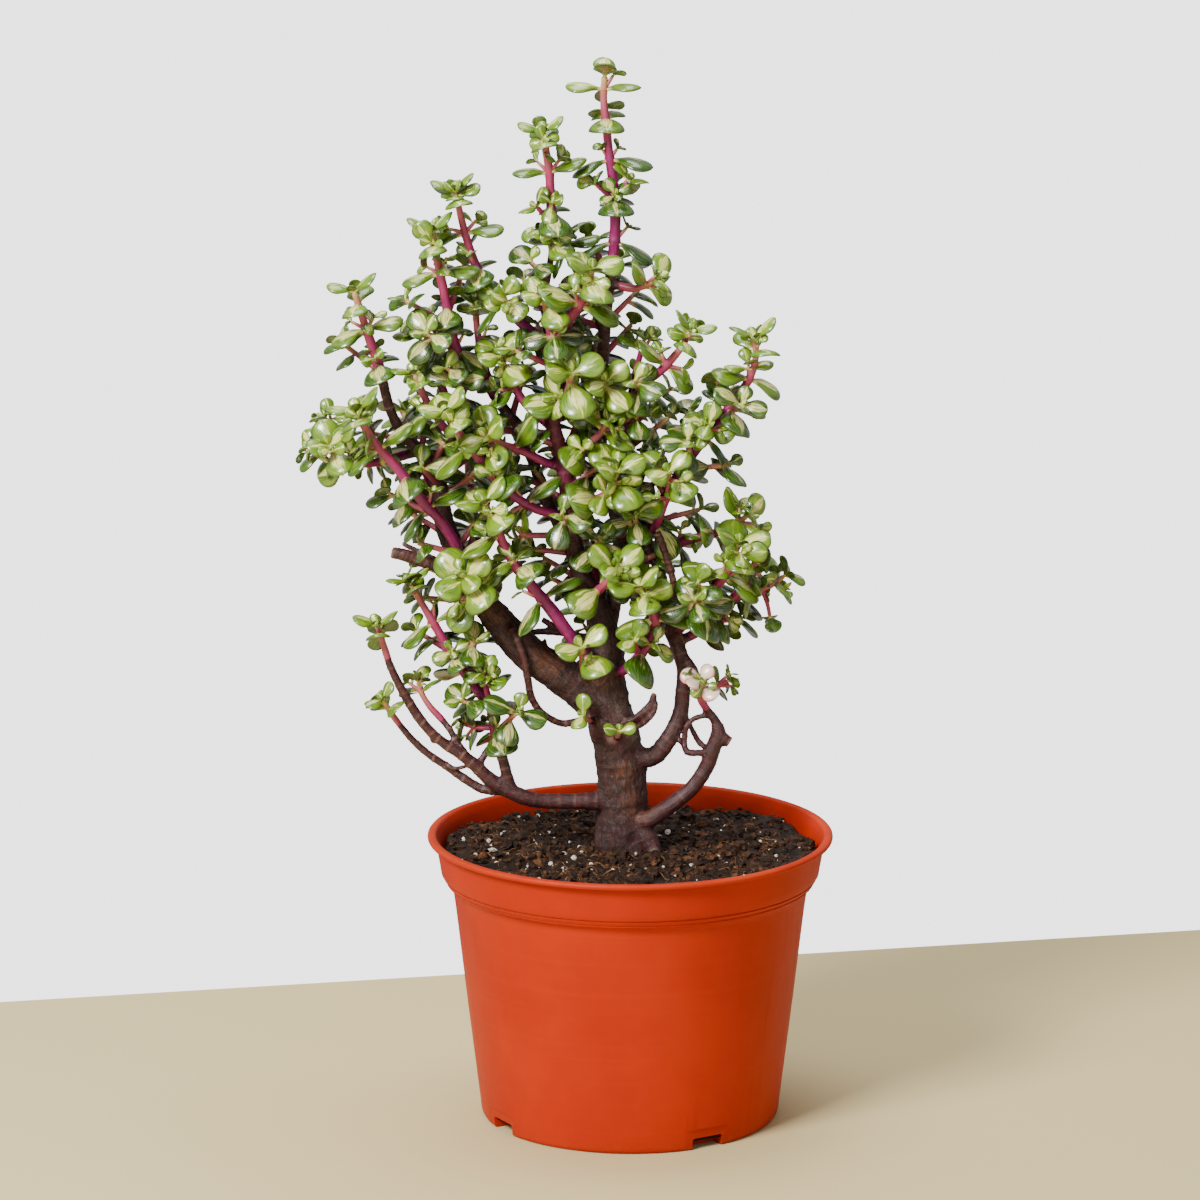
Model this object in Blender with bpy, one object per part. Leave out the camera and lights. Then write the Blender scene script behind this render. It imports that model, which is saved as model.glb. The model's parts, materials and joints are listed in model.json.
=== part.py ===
import math
import random

import bmesh
import bpy
from mathutils import Matrix, Vector
from mathutils.bvhtree import BVHTree

# Dwarf jade bonsai in a nursery pot. Sizes are in millimetres and become metres in make_object.
# +Z is up, the front is toward -Y, and the origin is the middle of the pot's flat underside.
MM = 0.001
GAP = 0.3

# Pot
POT_HEIGHT = 109.0
RIM_RADIUS = 76.2
LIP_HEIGHT = 2.6
COLLAR_RADIUS = 73.0
COLLAR_FOOT = 93.0
WALL_TOP = 89.0
WALL_TOP_RADIUS = 67.0
BASE_RADIUS = 56.3
CORNER = 2.4
WALL = 1.9
FLOOR = 2.6
DRAIN_ANGLES = (31.0, 121.0, 211.0, 301.0)
DRAIN_RECESS = (27.0, 1.1, 8.5)
DRAIN_SLOT = (13.0, 7.0, 4.6)
TURNS = 30

# Soil
SOIL_EDGE = 100.5
SOIL_MOUND = 3.5
SOIL_LUMP = 0.8
SOIL_RINGS = (1.0, 0.8, 0.58, 0.34)
HOLE_RINGS = 6

# Sides of the stems, and how far apart their rings are
TRUNK_SIDES = 10
TRUNK_STEP = 11.0
ROOT_SIDES = 6
ROOT_STEP = 8.0
LIMB_SIDES = 6
BRANCH_SIDES = 5
BRANCH_STEP = 12.0
TWIG_SIDES = 4
TWIG_STEP = 13.0
STEM_SIDES = 5
STEM_STEP = 11.0
ARM_SIDES = 4

# Leaves: part of the length, then half the width there, both as shares of the leaf's length
LEAF_OUTLINE = ((0.44, 0.35), (0.82, 0.34))
LEAF_CROWN = 0.5
LEAF_ABOVE = 0.105
LEAF_BELOW = 0.055
LEAF_RECURVE = 0.16
LEAF_FOOT = 0.35
ARM_LEAF = 0.8
ARM_LENGTH = 12.0
LEAF_CUPPING = 0.1
LEAF_SIZES = (0.72, 0.92, 1.0, 1.0, 0.97, 1.0)
LEAF_PITCHES = (40.0, 22.0, 8.0, -3.0, -9.0, -15.0)
LEAF_STEPS = (4.5, 11.5, 14.0, 15.5, 16.5)
LEAF_TRIES = (
    (0, 0, 1.0), (13, 0, 1.0), (-13, 0, 1.0), (0, 16, 1.0), (0, -16, 1.0), (22, 12, 0.94),
    (-22, -12, 0.94), (24, -22, 0.86), (-26, 22, 0.86), (0, 0, 0.76), (18, 10, 0.7), (-18, -10, 0.7),
)

# Each route point is across, up, depth and radius. Across and up are where the point is seen from
# the front, against an upright plane through the trunk, and depth is how far it lies behind it.
EYE = Vector((-11.35, -2200.0, 698.6))

TRUNK = [
    (-1, 62, 0, 9.4), (-1, 84, 0, 10.4), (-2, 99, 0, 11.2), (-3, 109, 0, 10.4), (-3, 119, 0, 9.7),
    (-3.2, 130, 0, 9.5), (-4.5, 141, 0, 9.3), (-7, 151, 0, 9.1), (-9, 161, 0, 8.6), (-9.5, 171, 0, 7.5),
    (-9, 180, 1, 6.4), (-10.5, 189, 1, 5.4), (-14, 198, 1, 4.8), (-17.5, 206, 1, 4.2), (-20, 215, 1, 3.6),
    (-21.5, 224, 1, 3.1), (-23, 234, 0, 2.8), (-24, 243, 0, 2.9), (-25, 250, 0, 3.0), (-26.5, 257, 0, 2.8),
    (-28.5, 265, -1, 2.5), (-28, 272, -2, 2.4), (-27.5, 280, -2, 2.6), (-29, 288, -2, 3.0),
    (-29.5, 294, -2, 3.0),
]
ROOT = [(0, 116, -3, 4.6), (5, 109, -6, 4.2), (8.5, 102, -8, 3.4), (10, 94, -9, 2.6)]

# Bare wood that joins the trunk: cut stubs, loops of twig and links between branches
TWIGS = {
    "left_stub": [(-60, 210, 3, 3.2), (-70, 211.3, 1, 2.6), (-78, 213.5, 0, 2.4), (-84, 215.5, -1, 2.4),
                  (-89, 216.5, -1, 2.1)],
    "left_thin_stub": [(-61, 211, 5, 1.4), (-69, 212.5, 9, 1.2), (-76, 215.5, 10, 1.1), (-85, 220, 10, 0.9)],
    "hanging_twig": [(-46, 190, -4, 1.4), (-43.5, 186, -10, 1.5), (-41, 180, -11.5, 1.6),
                     (-39.3, 174, -12, 1.6), (-38.2, 167, -12, 1.5), (-37, 161, -11, 1.5),
                     (-34, 156, -10, 1.4), (-30, 152.8, -9, 1.4), (-25.5, 151, -8, 1.4),
                     (-20.5, 151.6, -7, 1.5), (-12, 154, -5, 1.5)],
    "dark_twig": [(-10, 183, 2, 1.8), (-19, 184.5, 6, 1.5), (-26, 186, 8, 1.5), (-32, 186.3, 8, 1.4),
                  (-38, 186, 8, 1.2)],
    "dark_fork": [(-25, 186, 8, 1.3), (-29, 188.5, 8, 1.3), (-33, 191, 8, 1.2)],
    "limb_spur": [(-31, 176, -3, 0.9), (-31.6, 181, -3, 0.8), (-32, 184, -3, 0.6)],
    "cut_twig": [(-5, 150, -5, 1.8), (1.5, 152.7, -9, 1.6), (5, 155.5, -10, 1.5), (8, 159, -10, 1.4),
                 (9, 162.7, -10, 1.3)],
    "cut_twig_arc": [(-3, 148, -5, 1.3), (3.5, 150, -9, 1.1), (7.5, 153.3, -11, 1.0),
                     (9.6, 157, -11, 0.95), (9.0, 160.5, -10.2, 0.95)],
    "right_knob": [(31, 147.5, -8, 2.4), (37.3, 143.6, -9, 2.2)],
    "right_link": [(31, 139.5, -8, 1.5), (25.5, 139.6, -9, 1.3), (21, 140, -9, 1.3), (20.3, 145, -8, 1.2),
                   (21.2, 150, -8, 1.2), (24, 153, -8, 1.1), (29.5, 154.2, -8.2, 1.1)],
    "right_cross": [(30, 140.5, -7, 1.2), (26, 143.5, -5, 1.2), (23.5, 148, -5, 1.1),
                    (21.3, 152.5, -4, 1.0), (18.6, 158, -3, 0.9)],
    "right_bridge": [(14.5, 147.5, -4, 1.4), (18.5, 144.5, -6, 1.1), (20.8, 141.5, -8.6, 1.0)],
    "right_second": [(30.2, 153.8, -7.8, 1.5), (27.2, 158.5, -4.6, 1.4), (25.4, 165, -3, 1.7),
                     (23.5, 171, -3, 2.1), (19, 177.5, 0, 2.2)],
    "dry_twig": [(14.5, 185, 1, 1.6), (15.6, 192, -3, 1.4), (16.2, 200, -5, 1.35), (15.6, 207, -6, 1.35),
                 (13.6, 214, -7, 1.4), (11.6, 220, -8, 1.5), (10, 224, -9, 1.5)],
    "low_left_link": [(-70, 135.3, -2, 0.9), (-65, 133.6, -5, 0.85), (-59, 135.5, -8, 0.9)],
    "low_left_spur": [(-71, 144.5, -8, 1.1), (-75, 144, -8, 0.9)],
    "low_left_fork": [(-57.5, 134, -8, 1.6), (-54.8, 138.5, -7, 1.4), (-53, 142, -5.5, 1.2)],
    "upper_stub": [(-31.5, 313, 9, 1.5), (-34.5, 318, 8, 1.4), (-37.5, 321.5, 7, 1.1)],
}

# Leafy stems. "bark" is the length that belongs to the wood, "turn" is the angle of the tip's pair
# of leaves, "full" the length of a grown leaf and "bare" the leafless length at the foot.
SHOOTS = {
    "tallest": dict(
        route=[(-9, 184, 3, 3.4), (-6, 200, 9, 3.2), (-4, 212, 11, 3.0), (-4, 222, 12, 2.9),
               (-6, 233, 13, 2.8), (-9, 244, 13, 2.7), (-11, 256, 13, 2.6), (-11.3, 268, 13, 2.5),
               (-10.8, 280, 12, 2.5), (-10.2, 292, 11, 2.4), (-9.5, 303, 9, 2.4), (-8.5, 313, 8, 2.2),
               (-7.3, 322, 7, 2.1), (-6.3, 330, 6, 2.1), (-5.8, 338, 6, 2.1), (-5.8, 346, 6, 2.1),
               (-6.5, 355, 6, 1.9), (-8, 366, 6, 1.7), (-9, 376, 6, 1.6), (-10, 386, 6, 1.4),
               (-9.6, 395, 6, 1.1)],
        bark=145, turn=90, full=14, bare=3,
        arms=[[(-6, 349, 6, 1.2), (-9.5, 352, 5, 1.0), (-13, 355, 4, 0.8)],
              [(-6, 349, 6, 1.2), (-3.2, 353, 5, 1.0), (-1.2, 356.5, 4, 0.8)]]),
    "upper_left_tall": dict(
        route=[(-9.6, 299, 9, 2.2), (-13, 309, 11, 2.0), (-17, 318, 11, 2.0), (-21.5, 326.5, 10, 2.0),
               (-26, 334.5, 8, 2.0), (-28.8, 342, 6, 1.9), (-29.5, 351, 5, 1.8), (-30, 360, 4, 1.6),
               (-31.3, 368, 3, 1.4), (-32.2, 374, 2, 1.1)],
        bark=9, turn=0, full=13, bare=14,
        arms=[[(-28.6, 340, 6, 1.2), (-32, 343.5, 4, 1.0), (-34.5, 346.5, 2, 0.8)]]),
    "centre_right_rosette": dict(
        route=[(-29.5, 293, -2, 2.4), (-26, 299.5, -3, 2.3), (-22.5, 305, -5, 2.0), (-19, 310, -7, 1.7),
               (-16.5, 316, -10, 1.5), (-14.3, 322.5, -14, 1.1)],
        bark=6.5, turn=20, full=16.5, bare=6),
    "left_long": dict(
        route=[(-29.5, 292, -2, 2.4), (-34, 297.5, -1, 2.2), (-39, 302, 1, 2.0), (-44, 307, 3, 2.0),
               (-49.5, 313, 4, 1.9), (-54.5, 319.5, 4, 1.8), (-58, 327, 3, 1.7), (-60.5, 335, 2, 1.5),
               (-62.5, 343, 1, 1.3), (-64.5, 352.5, 0, 1.0)],
        bark=5, turn=0, full=13.5, bare=16,
        arms=[[(-43, 306, 3, 1.5), (-45.8, 310, -3, 1.3), (-47.2, 313, -10, 1.0)]]),
    "centre_rosette": dict(
        route=[(-29.5, 293, -3, 1.7), (-30, 301, -6, 1.5), (-31, 307, -9, 1.3), (-31.6, 312.5, -13, 1.0)],
        bark=6.5, turn=30, full=14, bare=4),
    "centre_back_twig": dict(
        route=[(-29, 290, 0, 1.8), (-31, 300, 7, 1.5), (-31.8, 308, 9, 1.5), (-31.2, 317, 9, 1.4),
               (-29.8, 325, 9, 1.4), (-29.2, 331, 8, 1.3), (-30.5, 337, 4, 1.0)],
        bark=43, turn=45, full=12, bare=2),
    "right_upper": dict(
        route=[(-8, 317.5, 7, 1.9), (-3, 316.7, 5, 1.6), (1, 316, 3, 1.4), (5, 317, 1, 1.2), (9, 319.5, -1, 0.9)],
        bark=5, turn=90, full=13.5, bare=2),
    "centre_upper": dict(
        route=[(-11, 271, 12, 1.7), (-10.5, 275, 4, 1.5), (-9.8, 278, -3, 1.3), (-9, 281, -9, 1.0)],
        bark=5, turn=40, full=14, bare=3),
    "front_upper_rosette": dict(
        route=[(-28, 267, -1, 1.5), (-25, 273, -7, 1.4), (-23, 279, -12, 1.2), (-21.8, 284, -18, 1.0)],
        bark=6, turn=20, full=16.5, bare=3),
    "centre_right_arm": dict(
        route=[(-25, 250, 0, 2.0), (-20, 253.5, -4, 1.7), (-15.5, 257.5, -7, 1.5), (-11, 262, -9, 1.3),
               (-8.5, 266, -11, 0.9)],
        bark=5, turn=60, full=14, bare=3),
    "centre_left_arm": dict(
        route=[(-25, 249, 0, 2.0), (-31, 250.5, -3, 1.7), (-37, 253.5, -5, 1.6), (-43, 256, -7, 1.5),
               (-49, 258, -12, 1.3), (-53.5, 260, -18, 1.0)],
        bark=5, turn=20, full=15, bare=4),
    "left_mid_rosette": dict(
        route=[(-28.5, 263, -1, 1.8), (-34, 268, 2, 1.6), (-39, 273, 4, 1.6), (-43.5, 280, 4, 1.5),
               (-46.5, 286, 0, 1.2), (-48, 290.5, -5, 0.9)],
        bark=5, turn=35, full=14, bare=8),
    "left_outer": dict(
        route=[(-8, 154, 0, 7.4), (-18, 163.5, -1, 7.4), (-26, 169.5, -2, 7.0), (-35, 175.5, -3, 6.9),
               (-42, 182, -3, 6.5), (-48, 189, -2, 5.9), (-54, 196.5, 0, 5.2), (-58.5, 203.5, 2, 4.7),
               (-62, 211, 3, 4.5), (-66, 219, 4, 4.1), (-69, 227, 5, 3.8), (-70.5, 236, 6, 3.5),
               (-71.5, 244, 7, 3.3), (-74, 250.5, 8, 2.8), (-79, 256, 9, 2.4), (-84, 261, 9, 2.1),
               (-88, 268, 9, 2.0), (-90.5, 276, 8, 2.0), (-92, 283, 7, 2.0), (-94, 290, 6, 1.9),
               (-97, 299, 4, 1.7), (-99.5, 307, 2, 1.4), (-102, 315, 0, 1.0)],
        bark=158, turn=0, full=13, bare=4),
    "left_upper": dict(
        route=[(-71, 243, 7, 2.8), (-67.5, 254, 8, 2.5), (-64.5, 266, 8, 2.3), (-63, 276, 7, 2.2),
               (-62.5, 283, 6, 2.2), (-64, 291, 4, 2.2), (-66, 299, 2, 2.0), (-67.5, 308, 0, 1.8),
               (-69.5, 318, -2, 1.7), (-71.5, 328, -4, 1.5), (-73, 337, -6, 1.1)],
        bark=35, turn=0, full=14, bare=8),
    "left_middle": dict(
        route=[(-64.4, 267, 8, 1.7), (-68.5, 276, 10, 1.5), (-71.8, 285, 9, 1.5), (-74.5, 295, 8, 1.2),
               (-77, 303, 7, 0.9)],
        bark=5, turn=80, full=12, bare=5),
    "left_inner": dict(
        route=[(-66, 260, 8, 1.7), (-70.5, 266, 3, 1.5), (-74, 271, 0, 1.5), (-77, 277, -1, 1.4),
               (-80, 284, -2, 1.0)],
        bark=5, turn=10, full=12.5, bare=3),
    "left_back": dict(
        route=[(-20, 212, 2, 2.6), (-24.5, 222, 8, 2.4), (-28.5, 231, 11, 2.3), (-32, 240, 13, 2.3),
               (-35.5, 249, 14, 2.3), (-38.5, 258, 14, 2.2), (-42, 265, 14, 2.2), (-47, 271, 14, 2.2),
               (-51, 277, 14, 2.1), (-53.5, 284, 13, 1.9), (-55.5, 293, 12, 1.6), (-56.8, 302, 11, 1.3),
               (-57.3, 310, 10, 0.9)],
        bark=73, turn=10, full=12, bare=3),
    "left_cluster": dict(
        route=[(-78, 255, 9, 2.0), (-87, 252.5, 12, 1.7), (-95, 250.5, 11, 1.6), (-103, 250.5, 7, 1.5),
               (-109, 253.5, 0, 1.3), (-111.5, 257, -8, 1.0)],
        bark=6, turn=20, full=13.5, bare=5,
        arms=[[(-99, 250.3, 9.5, 1.3), (-107, 258, 11, 1.1), (-113, 267.5, 9, 0.8)],
              [(-103, 250.5, 7, 1.2), (-111, 251, 8, 1.0), (-118, 257, 7, 0.8)]]),
    "left_magenta": dict(
        route=[(-61, 208.5, 1, 2.3), (-65.5, 220.5, -5, 2.1), (-71, 229, -8, 2.0), (-76, 234.5, -9, 2.0),
               (-81, 241, -10, 1.9), (-87, 249, -11, 1.8), (-93, 256, -12, 1.6), (-98, 263, -13, 1.4),
               (-101, 270, -14, 1.0)],
        bark=12, turn=0, full=15.5, bare=12),
    "front_left_rosette": dict(
        route=[(-22.5, 229, 0, 1.8), (-28, 231, -6, 1.7), (-35, 233, -10, 1.7), (-42, 237, -12, 1.7),
               (-48, 242, -13, 1.7), (-54, 249, -14, 1.7), (-59, 256, -15, 1.6), (-64, 262.5, -17, 1.4),
               (-68, 269.5, -21, 1.0)],
        bark=5, turn=20, full=15, bare=16),
    "centre_left_twig": dict(
        route=[(-21.5, 222, -1, 1.6), (-28, 223, -4, 1.3), (-34, 223, -6, 1.2), (-39.5, 223.3, -8, 1.1),
               (-43, 226.5, -9, 0.8)],
        bark=5, turn=60, full=12.5, bare=5),
    "front_diagonal": dict(
        route=[(-11, 172, -2, 2.8), (-19, 180, -10, 2.5), (-24, 187, -12, 2.4), (-29, 194, -13, 2.4),
               (-35, 201.5, -14, 2.2), (-41, 209, -15, 2.0), (-46, 217, -16, 1.8), (-50, 226, -18, 1.6),
               (-54, 235, -23, 1.1)],
        bark=12, turn=30, full=15.5, bare=12),
    "limb_rosette": dict(
        route=[(-53, 194, -2, 2.3), (-57, 199, -9, 1.9), (-60, 203, -15, 1.6), (-61.5, 206, -22, 1.1)],
        bark=7, turn=40, full=15.5, bare=2),
    "fork_rosette": dict(
        route=[(-16, 167, -4, 2.1), (-17.5, 173.5, -11, 1.7), (-18, 180, -18, 1.1)],
        bark=7, turn=35, full=15, bare=2),
    "front_right_low": dict(
        route=[(-7, 169, -3, 2.3), (-1, 172.5, -9, 1.9), (4, 178, -11, 1.9), (8.5, 185, -12, 1.9),
               (9, 191, -14, 1.7), (6.5, 197, -17, 1.5), (3.5, 203, -22, 1.1)],
        bark=7, turn=10, full=16, bare=2,
        arms=[[(3.5, 177.5, -11, 1.3), (2, 180.5, -16, 1.0), (1.5, 183, -20, 0.8)]]),
    "front_centre": dict(
        route=[(-15.5, 199, -1, 2.0), (-11.5, 202.5, -9, 1.6), (-7.5, 206.5, -15, 1.3), (-4.5, 210.5, -21, 1.0)],
        bark=6, turn=45, full=15, bare=2),
    "centre_front_rosette": dict(
        route=[(-23, 235, 0, 2.0), (-17, 235.5, -7, 1.7), (-11.5, 237, -11, 1.6), (-7.5, 241.5, -15, 1.3),
               (-5, 247, -20, 1.0)],
        bark=5, turn=30, full=16.5, bare=2),
    "right_sweep": dict(
        route=[(-1, 142.5, -1, 4.4), (4, 138, -3, 4.0), (9, 138.5, -4, 3.6), (13, 143, -4, 3.4),
               (16.5, 149, -4, 3.2), (19, 156, -3, 3.0), (19.6, 164, -2, 2.8), (20, 171, -1, 2.7),
               (18.8, 178, 0, 2.6), (16, 184.5, 1, 2.6), (13, 190, 3, 2.5), (12.5, 200, 6, 2.4),
               (10.5, 210, 8, 2.3), (6, 219, 9, 2.2), (2, 227, 9, 2.1), (0.8, 236, 9, 2.0),
               (0, 246, 8, 1.9), (-0.8, 256, 8, 1.8), (-1.6, 264, 7, 1.8), (-0.5, 271, 5, 1.8),
               (2, 277, 3, 1.8), (6, 281.5, 1, 1.8), (10.8, 285, -1, 1.7), (15.5, 290, -3, 1.5),
               (19.3, 295, -5, 1.2), (21.8, 300, -6, 0.9)],
        bark=142, turn=0, full=14, bare=4,
        arms=[[(-1.2, 267, 6, 1.4), (-0.3, 274, 9, 1.3), (1.2, 283, 9, 1.2), (3.2, 290, 7, 1.1),
               (5, 297, 5, 0.8)],
              [(-1.4, 266, 6.5, 1.2), (2, 266.5, 4, 1.1), (6, 268.5, 2, 0.9)]]),
    "right_reach": dict(
        route=[(6.5, 218, 9, 2.2), (6, 226, 8, 2.1), (9, 232, 7, 2.1), (13, 238, 6, 2.1), (17, 244.5, 5, 2.2),
               (20, 250, 4, 2.3), (24.5, 256, 3, 2.0), (29.5, 262, 2, 1.9), (34.5, 268, 1, 2.0),
               (38, 273.5, 0, 1.8), (42, 279, -1, 1.7), (45, 285, -2, 1.4), (46.2, 291, -3, 1.2),
               (45.8, 297, -4, 0.9)],
        bark=30, turn=20, full=14, bare=5,
        arms=[[(36, 270, 0.6, 1.4), (35, 275.5, 1, 1.2), (32, 281, 2, 0.9)],
              [(28, 260, 2, 1.2), (29.2, 262.5, -5, 1.0), (29, 265, -11, 0.8)]]),
    "right_inner_rosette": dict(
        route=[(6.2, 223, 8, 1.7), (9, 226, -1, 1.5), (11.3, 231, -6, 1.4), (13.5, 237.5, -9, 1.2),
               (14.3, 242, -13, 1.1), (14.2, 247, -18, 0.8)],
        bark=6, turn=40, full=14, bare=3),
    "right_front": dict(
        route=[(15.5, 184.5, 1, 2.5), (20, 189.5, -3, 2.2), (25.5, 195, -6, 2.1), (30, 201, -8, 2.0),
               (34.5, 207, -10, 1.8), (37.5, 213, -12, 1.5), (40.2, 219.5, -16, 1.0)],
        bark=6, turn=10, full=15.5, bare=5,
        arms=[[(36, 209.5, -10.5, 1.2), (42, 210.5, -9, 1.1), (47.5, 212.5, -8, 0.8)]]),
    "right_middle": dict(
        route=[(11, 208, 8, 2.0), (14, 216, 7, 1.9), (19, 220.5, 5, 1.9), (26, 222.5, 3, 1.7),
               (32, 224, 1, 1.5), (38, 227, -1, 1.3), (43.5, 230.5, -3, 0.9)],
        bark=6, turn=70, full=15, bare=3),
    "right_low": dict(
        route=[(17, 182.5, 0, 2.2), (23, 185, 3, 1.9), (29, 189.5, 4, 1.9), (34, 194.5, 4, 1.8),
               (38.5, 199.5, 3, 1.7), (42, 202.5, 2, 1.5), (47, 202.3, 1, 1.3), (53, 204.5, 0, 1.1),
               (57.5, 207.8, 0, 0.8)],
        bark=6, turn=30, full=12, bare=4,
        arms=[[(40.5, 201.5, 2.5, 1.4), (43.5, 205, 0, 1.1), (46.5, 208, -2, 0.8)],
              [(49, 202.8, 0.8, 1.0), (51, 197, 2, 0.8), (52, 192, 3, 0.7)]]),
    "pink_tipped": dict(
        route=[(-1, 113, -3, 3.8), (6, 113.5, -7, 3.4), (12, 117, -8, 3.2), (18, 121.5, -8, 3.0),
               (24, 127, -8, 2.9), (28.5, 134, -8, 2.9), (31, 141, -8, 3.0), (33, 147, -8, 3.0),
               (32, 151.5, -8, 1.9), (29, 156, -8.5, 1.5), (26.5, 160, -11, 1.5), (25.8, 164, -14.5, 1.3),
               (26, 167.5, -19, 0.9)],
        bark=65, turn=45, full=9.5, bare=1,
        arms=[[(26.1, 163, -13.8, 1.1), (31, 165, -10, 1.0), (36.5, 167.5, -8, 0.8)]]),
    "low_left_outer": dict(
        route=[(-8, 121, -3, 4.0), (-17, 121, -5, 3.2), (-25, 120.8, -6, 2.9), (-33, 121, -7, 2.9),
               (-40, 122.5, -8, 3.0), (-46, 125.3, -8, 3.0), (-51, 128, -8, 2.9), (-55, 131.5, -8, 2.6),
               (-59, 135.5, -8, 2.4), (-64, 139.5, -8, 2.2), (-69.5, 143, -8, 2.0), (-74.5, 147.5, -8, 1.9),
               (-79, 153, -8, 1.9), (-83, 159.5, -8, 1.9), (-86.5, 166, -8, 1.7), (-89.5, 172.5, -8, 1.5),
               (-91.5, 179, -8, 1.4), (-93, 184, -8, 1.1), (-94.2, 188.5, -9, 0.8)],
        bark=109, turn=0, full=12.5, bare=1),
    "low_left_front": dict(
        route=[(-47, 125, -7, 2.0), (-55, 125.5, -4, 1.8), (-62, 129.5, -3, 1.7), (-69, 134.5, -2, 1.6),
               (-75.5, 139, -2, 1.5), (-81.5, 144.5, -2, 1.4), (-86, 150, -2, 1.3), (-89.5, 155, -4, 1.1),
               (-92.5, 160, -7, 0.8)],
        bark=50, turn=40, full=10.5, bare=1),
    "low_left_long": dict(
        route=[(-44, 124, -8, 2.4), (-46, 130, -8, 2.2), (-47.5, 136, -8, 2.1), (-49.3, 142, -8, 1.9),
               (-50.8, 149, -8, 1.9), (-52, 156, -7, 1.8), (-57, 163.5, -5, 1.8), (-61.5, 169.5, -4, 1.8),
               (-65.5, 176, -4, 1.8), (-70, 183.5, -4, 1.7), (-74, 190.5, -4, 1.6), (-78, 197.5, -4, 1.3),
               (-82, 205, -4, 0.9)],
        bark=19, turn=10, full=13, bare=2,
        arms=[[(-52.1, 156.5, -7, 1.4), (-53.5, 163, -12, 1.2), (-55, 170.5, -17, 0.9)],
              [(-50.9, 149.5, -8, 1.2), (-57, 149.3, -6, 0.9), (-62.5, 150.8, -4, 0.8)]]),
    "low_left_middle": dict(
        route=[(-60, 136.5, -8, 1.7), (-64.5, 143, -7, 1.4), (-67.5, 148.5, -6, 1.3), (-71, 153, -5, 1.3),
               (-75, 157.5, -5, 1.2), (-78, 162.5, -5, 1.0), (-79.5, 167.5, -5, 0.7)],
        bark=19, turn=60, full=10, bare=1),
    "trunk_left_sprig": dict(
        route=[(-12, 151, -5, 1.4), (-16, 152.5, -11, 1.1), (-17.8, 154.5, -15, 0.8)],
        bark=7, turn=80, full=9.5, bare=1, pairs=2),
    "trunk_front_sprig": dict(
        route=[(-5, 145, -5, 1.4), (-4.7, 146, -11, 1.1), (-4.2, 148, -15, 0.8)],
        bark=7, turn=5, full=9.5, bare=1, pairs=2),
    "back_centre": dict(
        route=[(-9, 177, 3, 2.8), (-8, 190, 16, 2.3), (-12, 205, 26, 2.1), (-17, 220, 32, 1.8),
               (-20, 236, 36, 1.5), (-22, 250, 38, 1.0)],
        bark=32, turn=20, full=15.5, bare=4, pairs=4),
    "back_limb": dict(
        route=[(-48, 188, 0, 2.8), (-52, 200, 13, 2.2), (-56, 214, 23, 2.0), (-58, 230, 30, 1.7),
               (-60, 245, 34, 1.4), (-61, 257, 36, 1.0)],
        bark=24, turn=50, full=15.5, bare=4, pairs=4),
    "back_right": dict(
        route=[(19, 158, -2, 2.5), (20, 169, 11, 2.1), (16, 182, 21, 1.9), (9, 198, 28, 1.7),
               (5, 213, 32, 1.4), (3, 226, 34, 1.0)],
        bark=18, turn=10, full=15.5, bare=4, pairs=4),
    "back_upper": dict(
        route=[(-11, 255, 13, 2.1), (-14, 268, 23, 1.8), (-17, 282, 28, 1.6), (-19, 296, 31, 1.3),
               (-20, 306, 32, 1.0)],
        bark=8, turn=70, full=14, bare=3, pairs=4),
    "back_left": dict(
        route=[(-70.5, 234, 6, 2.4), (-75, 245, 18, 1.8), (-80, 258, 26, 1.5), (-84, 270, 30, 1.0)],
        bark=9, turn=30, full=14, bare=3, pairs=4),
    "back_low": dict(
        route=[(-6, 148, 3, 2.6), (-8, 160, 18, 2.0), (-12, 174, 28, 1.7), (-15, 188, 34, 1.3),
               (-16, 198, 37, 1.0)],
        bark=22, turn=30, full=15.5, bare=2, pairs=4),
}

# Colour, roughness
POT_LOOK = ((0.60, 0.075, 0.022), 0.42)
SOIL_LOOK = ((0.035, 0.021, 0.013), 0.95)
BARK_LOOK = ((0.085, 0.032, 0.022), 0.72)
LEAF_LOOK = ((0.17, 0.30, 0.045), 0.3)
PINK_LOOK = ((0.55, 0.42, 0.30), 0.3)


def seen(across, up, depth):
    reach = (depth - EYE.y) / -EYE.y
    return Vector((EYE.x + (across - EYE.x) * reach, depth, EYE.z + (up - EYE.z) * reach))


class Route:
    """A smooth line through a stem's points, which gives place, direction and radius by length."""

    def __init__(self, points):
        knots = [seen(*point[:3]) for point in points]
        radii = [point[3] for point in points]
        ends = [2 * knots[0] - knots[1]] + knots + [2 * knots[-1] - knots[-2]]
        self.places = [knots[0]]
        self.radii = [radii[0]]
        for i in range(len(knots) - 1):
            a, b, c, d = ends[i:i + 4]
            steps = max(2, round((c - b).length))
            for k in range(1, steps + 1):
                t = k / steps
                curve = (2 * b + (c - a) * t + (2 * a - 5 * b + 4 * c - d) * t * t
                         + (3 * b - a - 3 * c + d) * t * t * t) / 2
                self.places.append(curve)
                self.radii.append(radii[i] + (radii[i + 1] - radii[i]) * t)
        self.marks = [0.0]
        for a, b in zip(self.places, self.places[1:]):
            self.marks.append(self.marks[-1] + (b - a).length)
        self.length = self.marks[-1]

    def at(self, mark):
        mark = min(max(mark, 0.0), self.length)
        i = 0
        while i < len(self.marks) - 2 and self.marks[i + 1] < mark:
            i += 1
        t = (mark - self.marks[i]) / (self.marks[i + 1] - self.marks[i])
        place = self.places[i].lerp(self.places[i + 1], t)
        first, last = max(i - 1, 0), min(i + 2, len(self.places) - 1)
        heading = (self.places[last] - self.places[first]).normalized()
        return place, heading, self.radii[i] + (self.radii[i + 1] - self.radii[i]) * t


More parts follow.
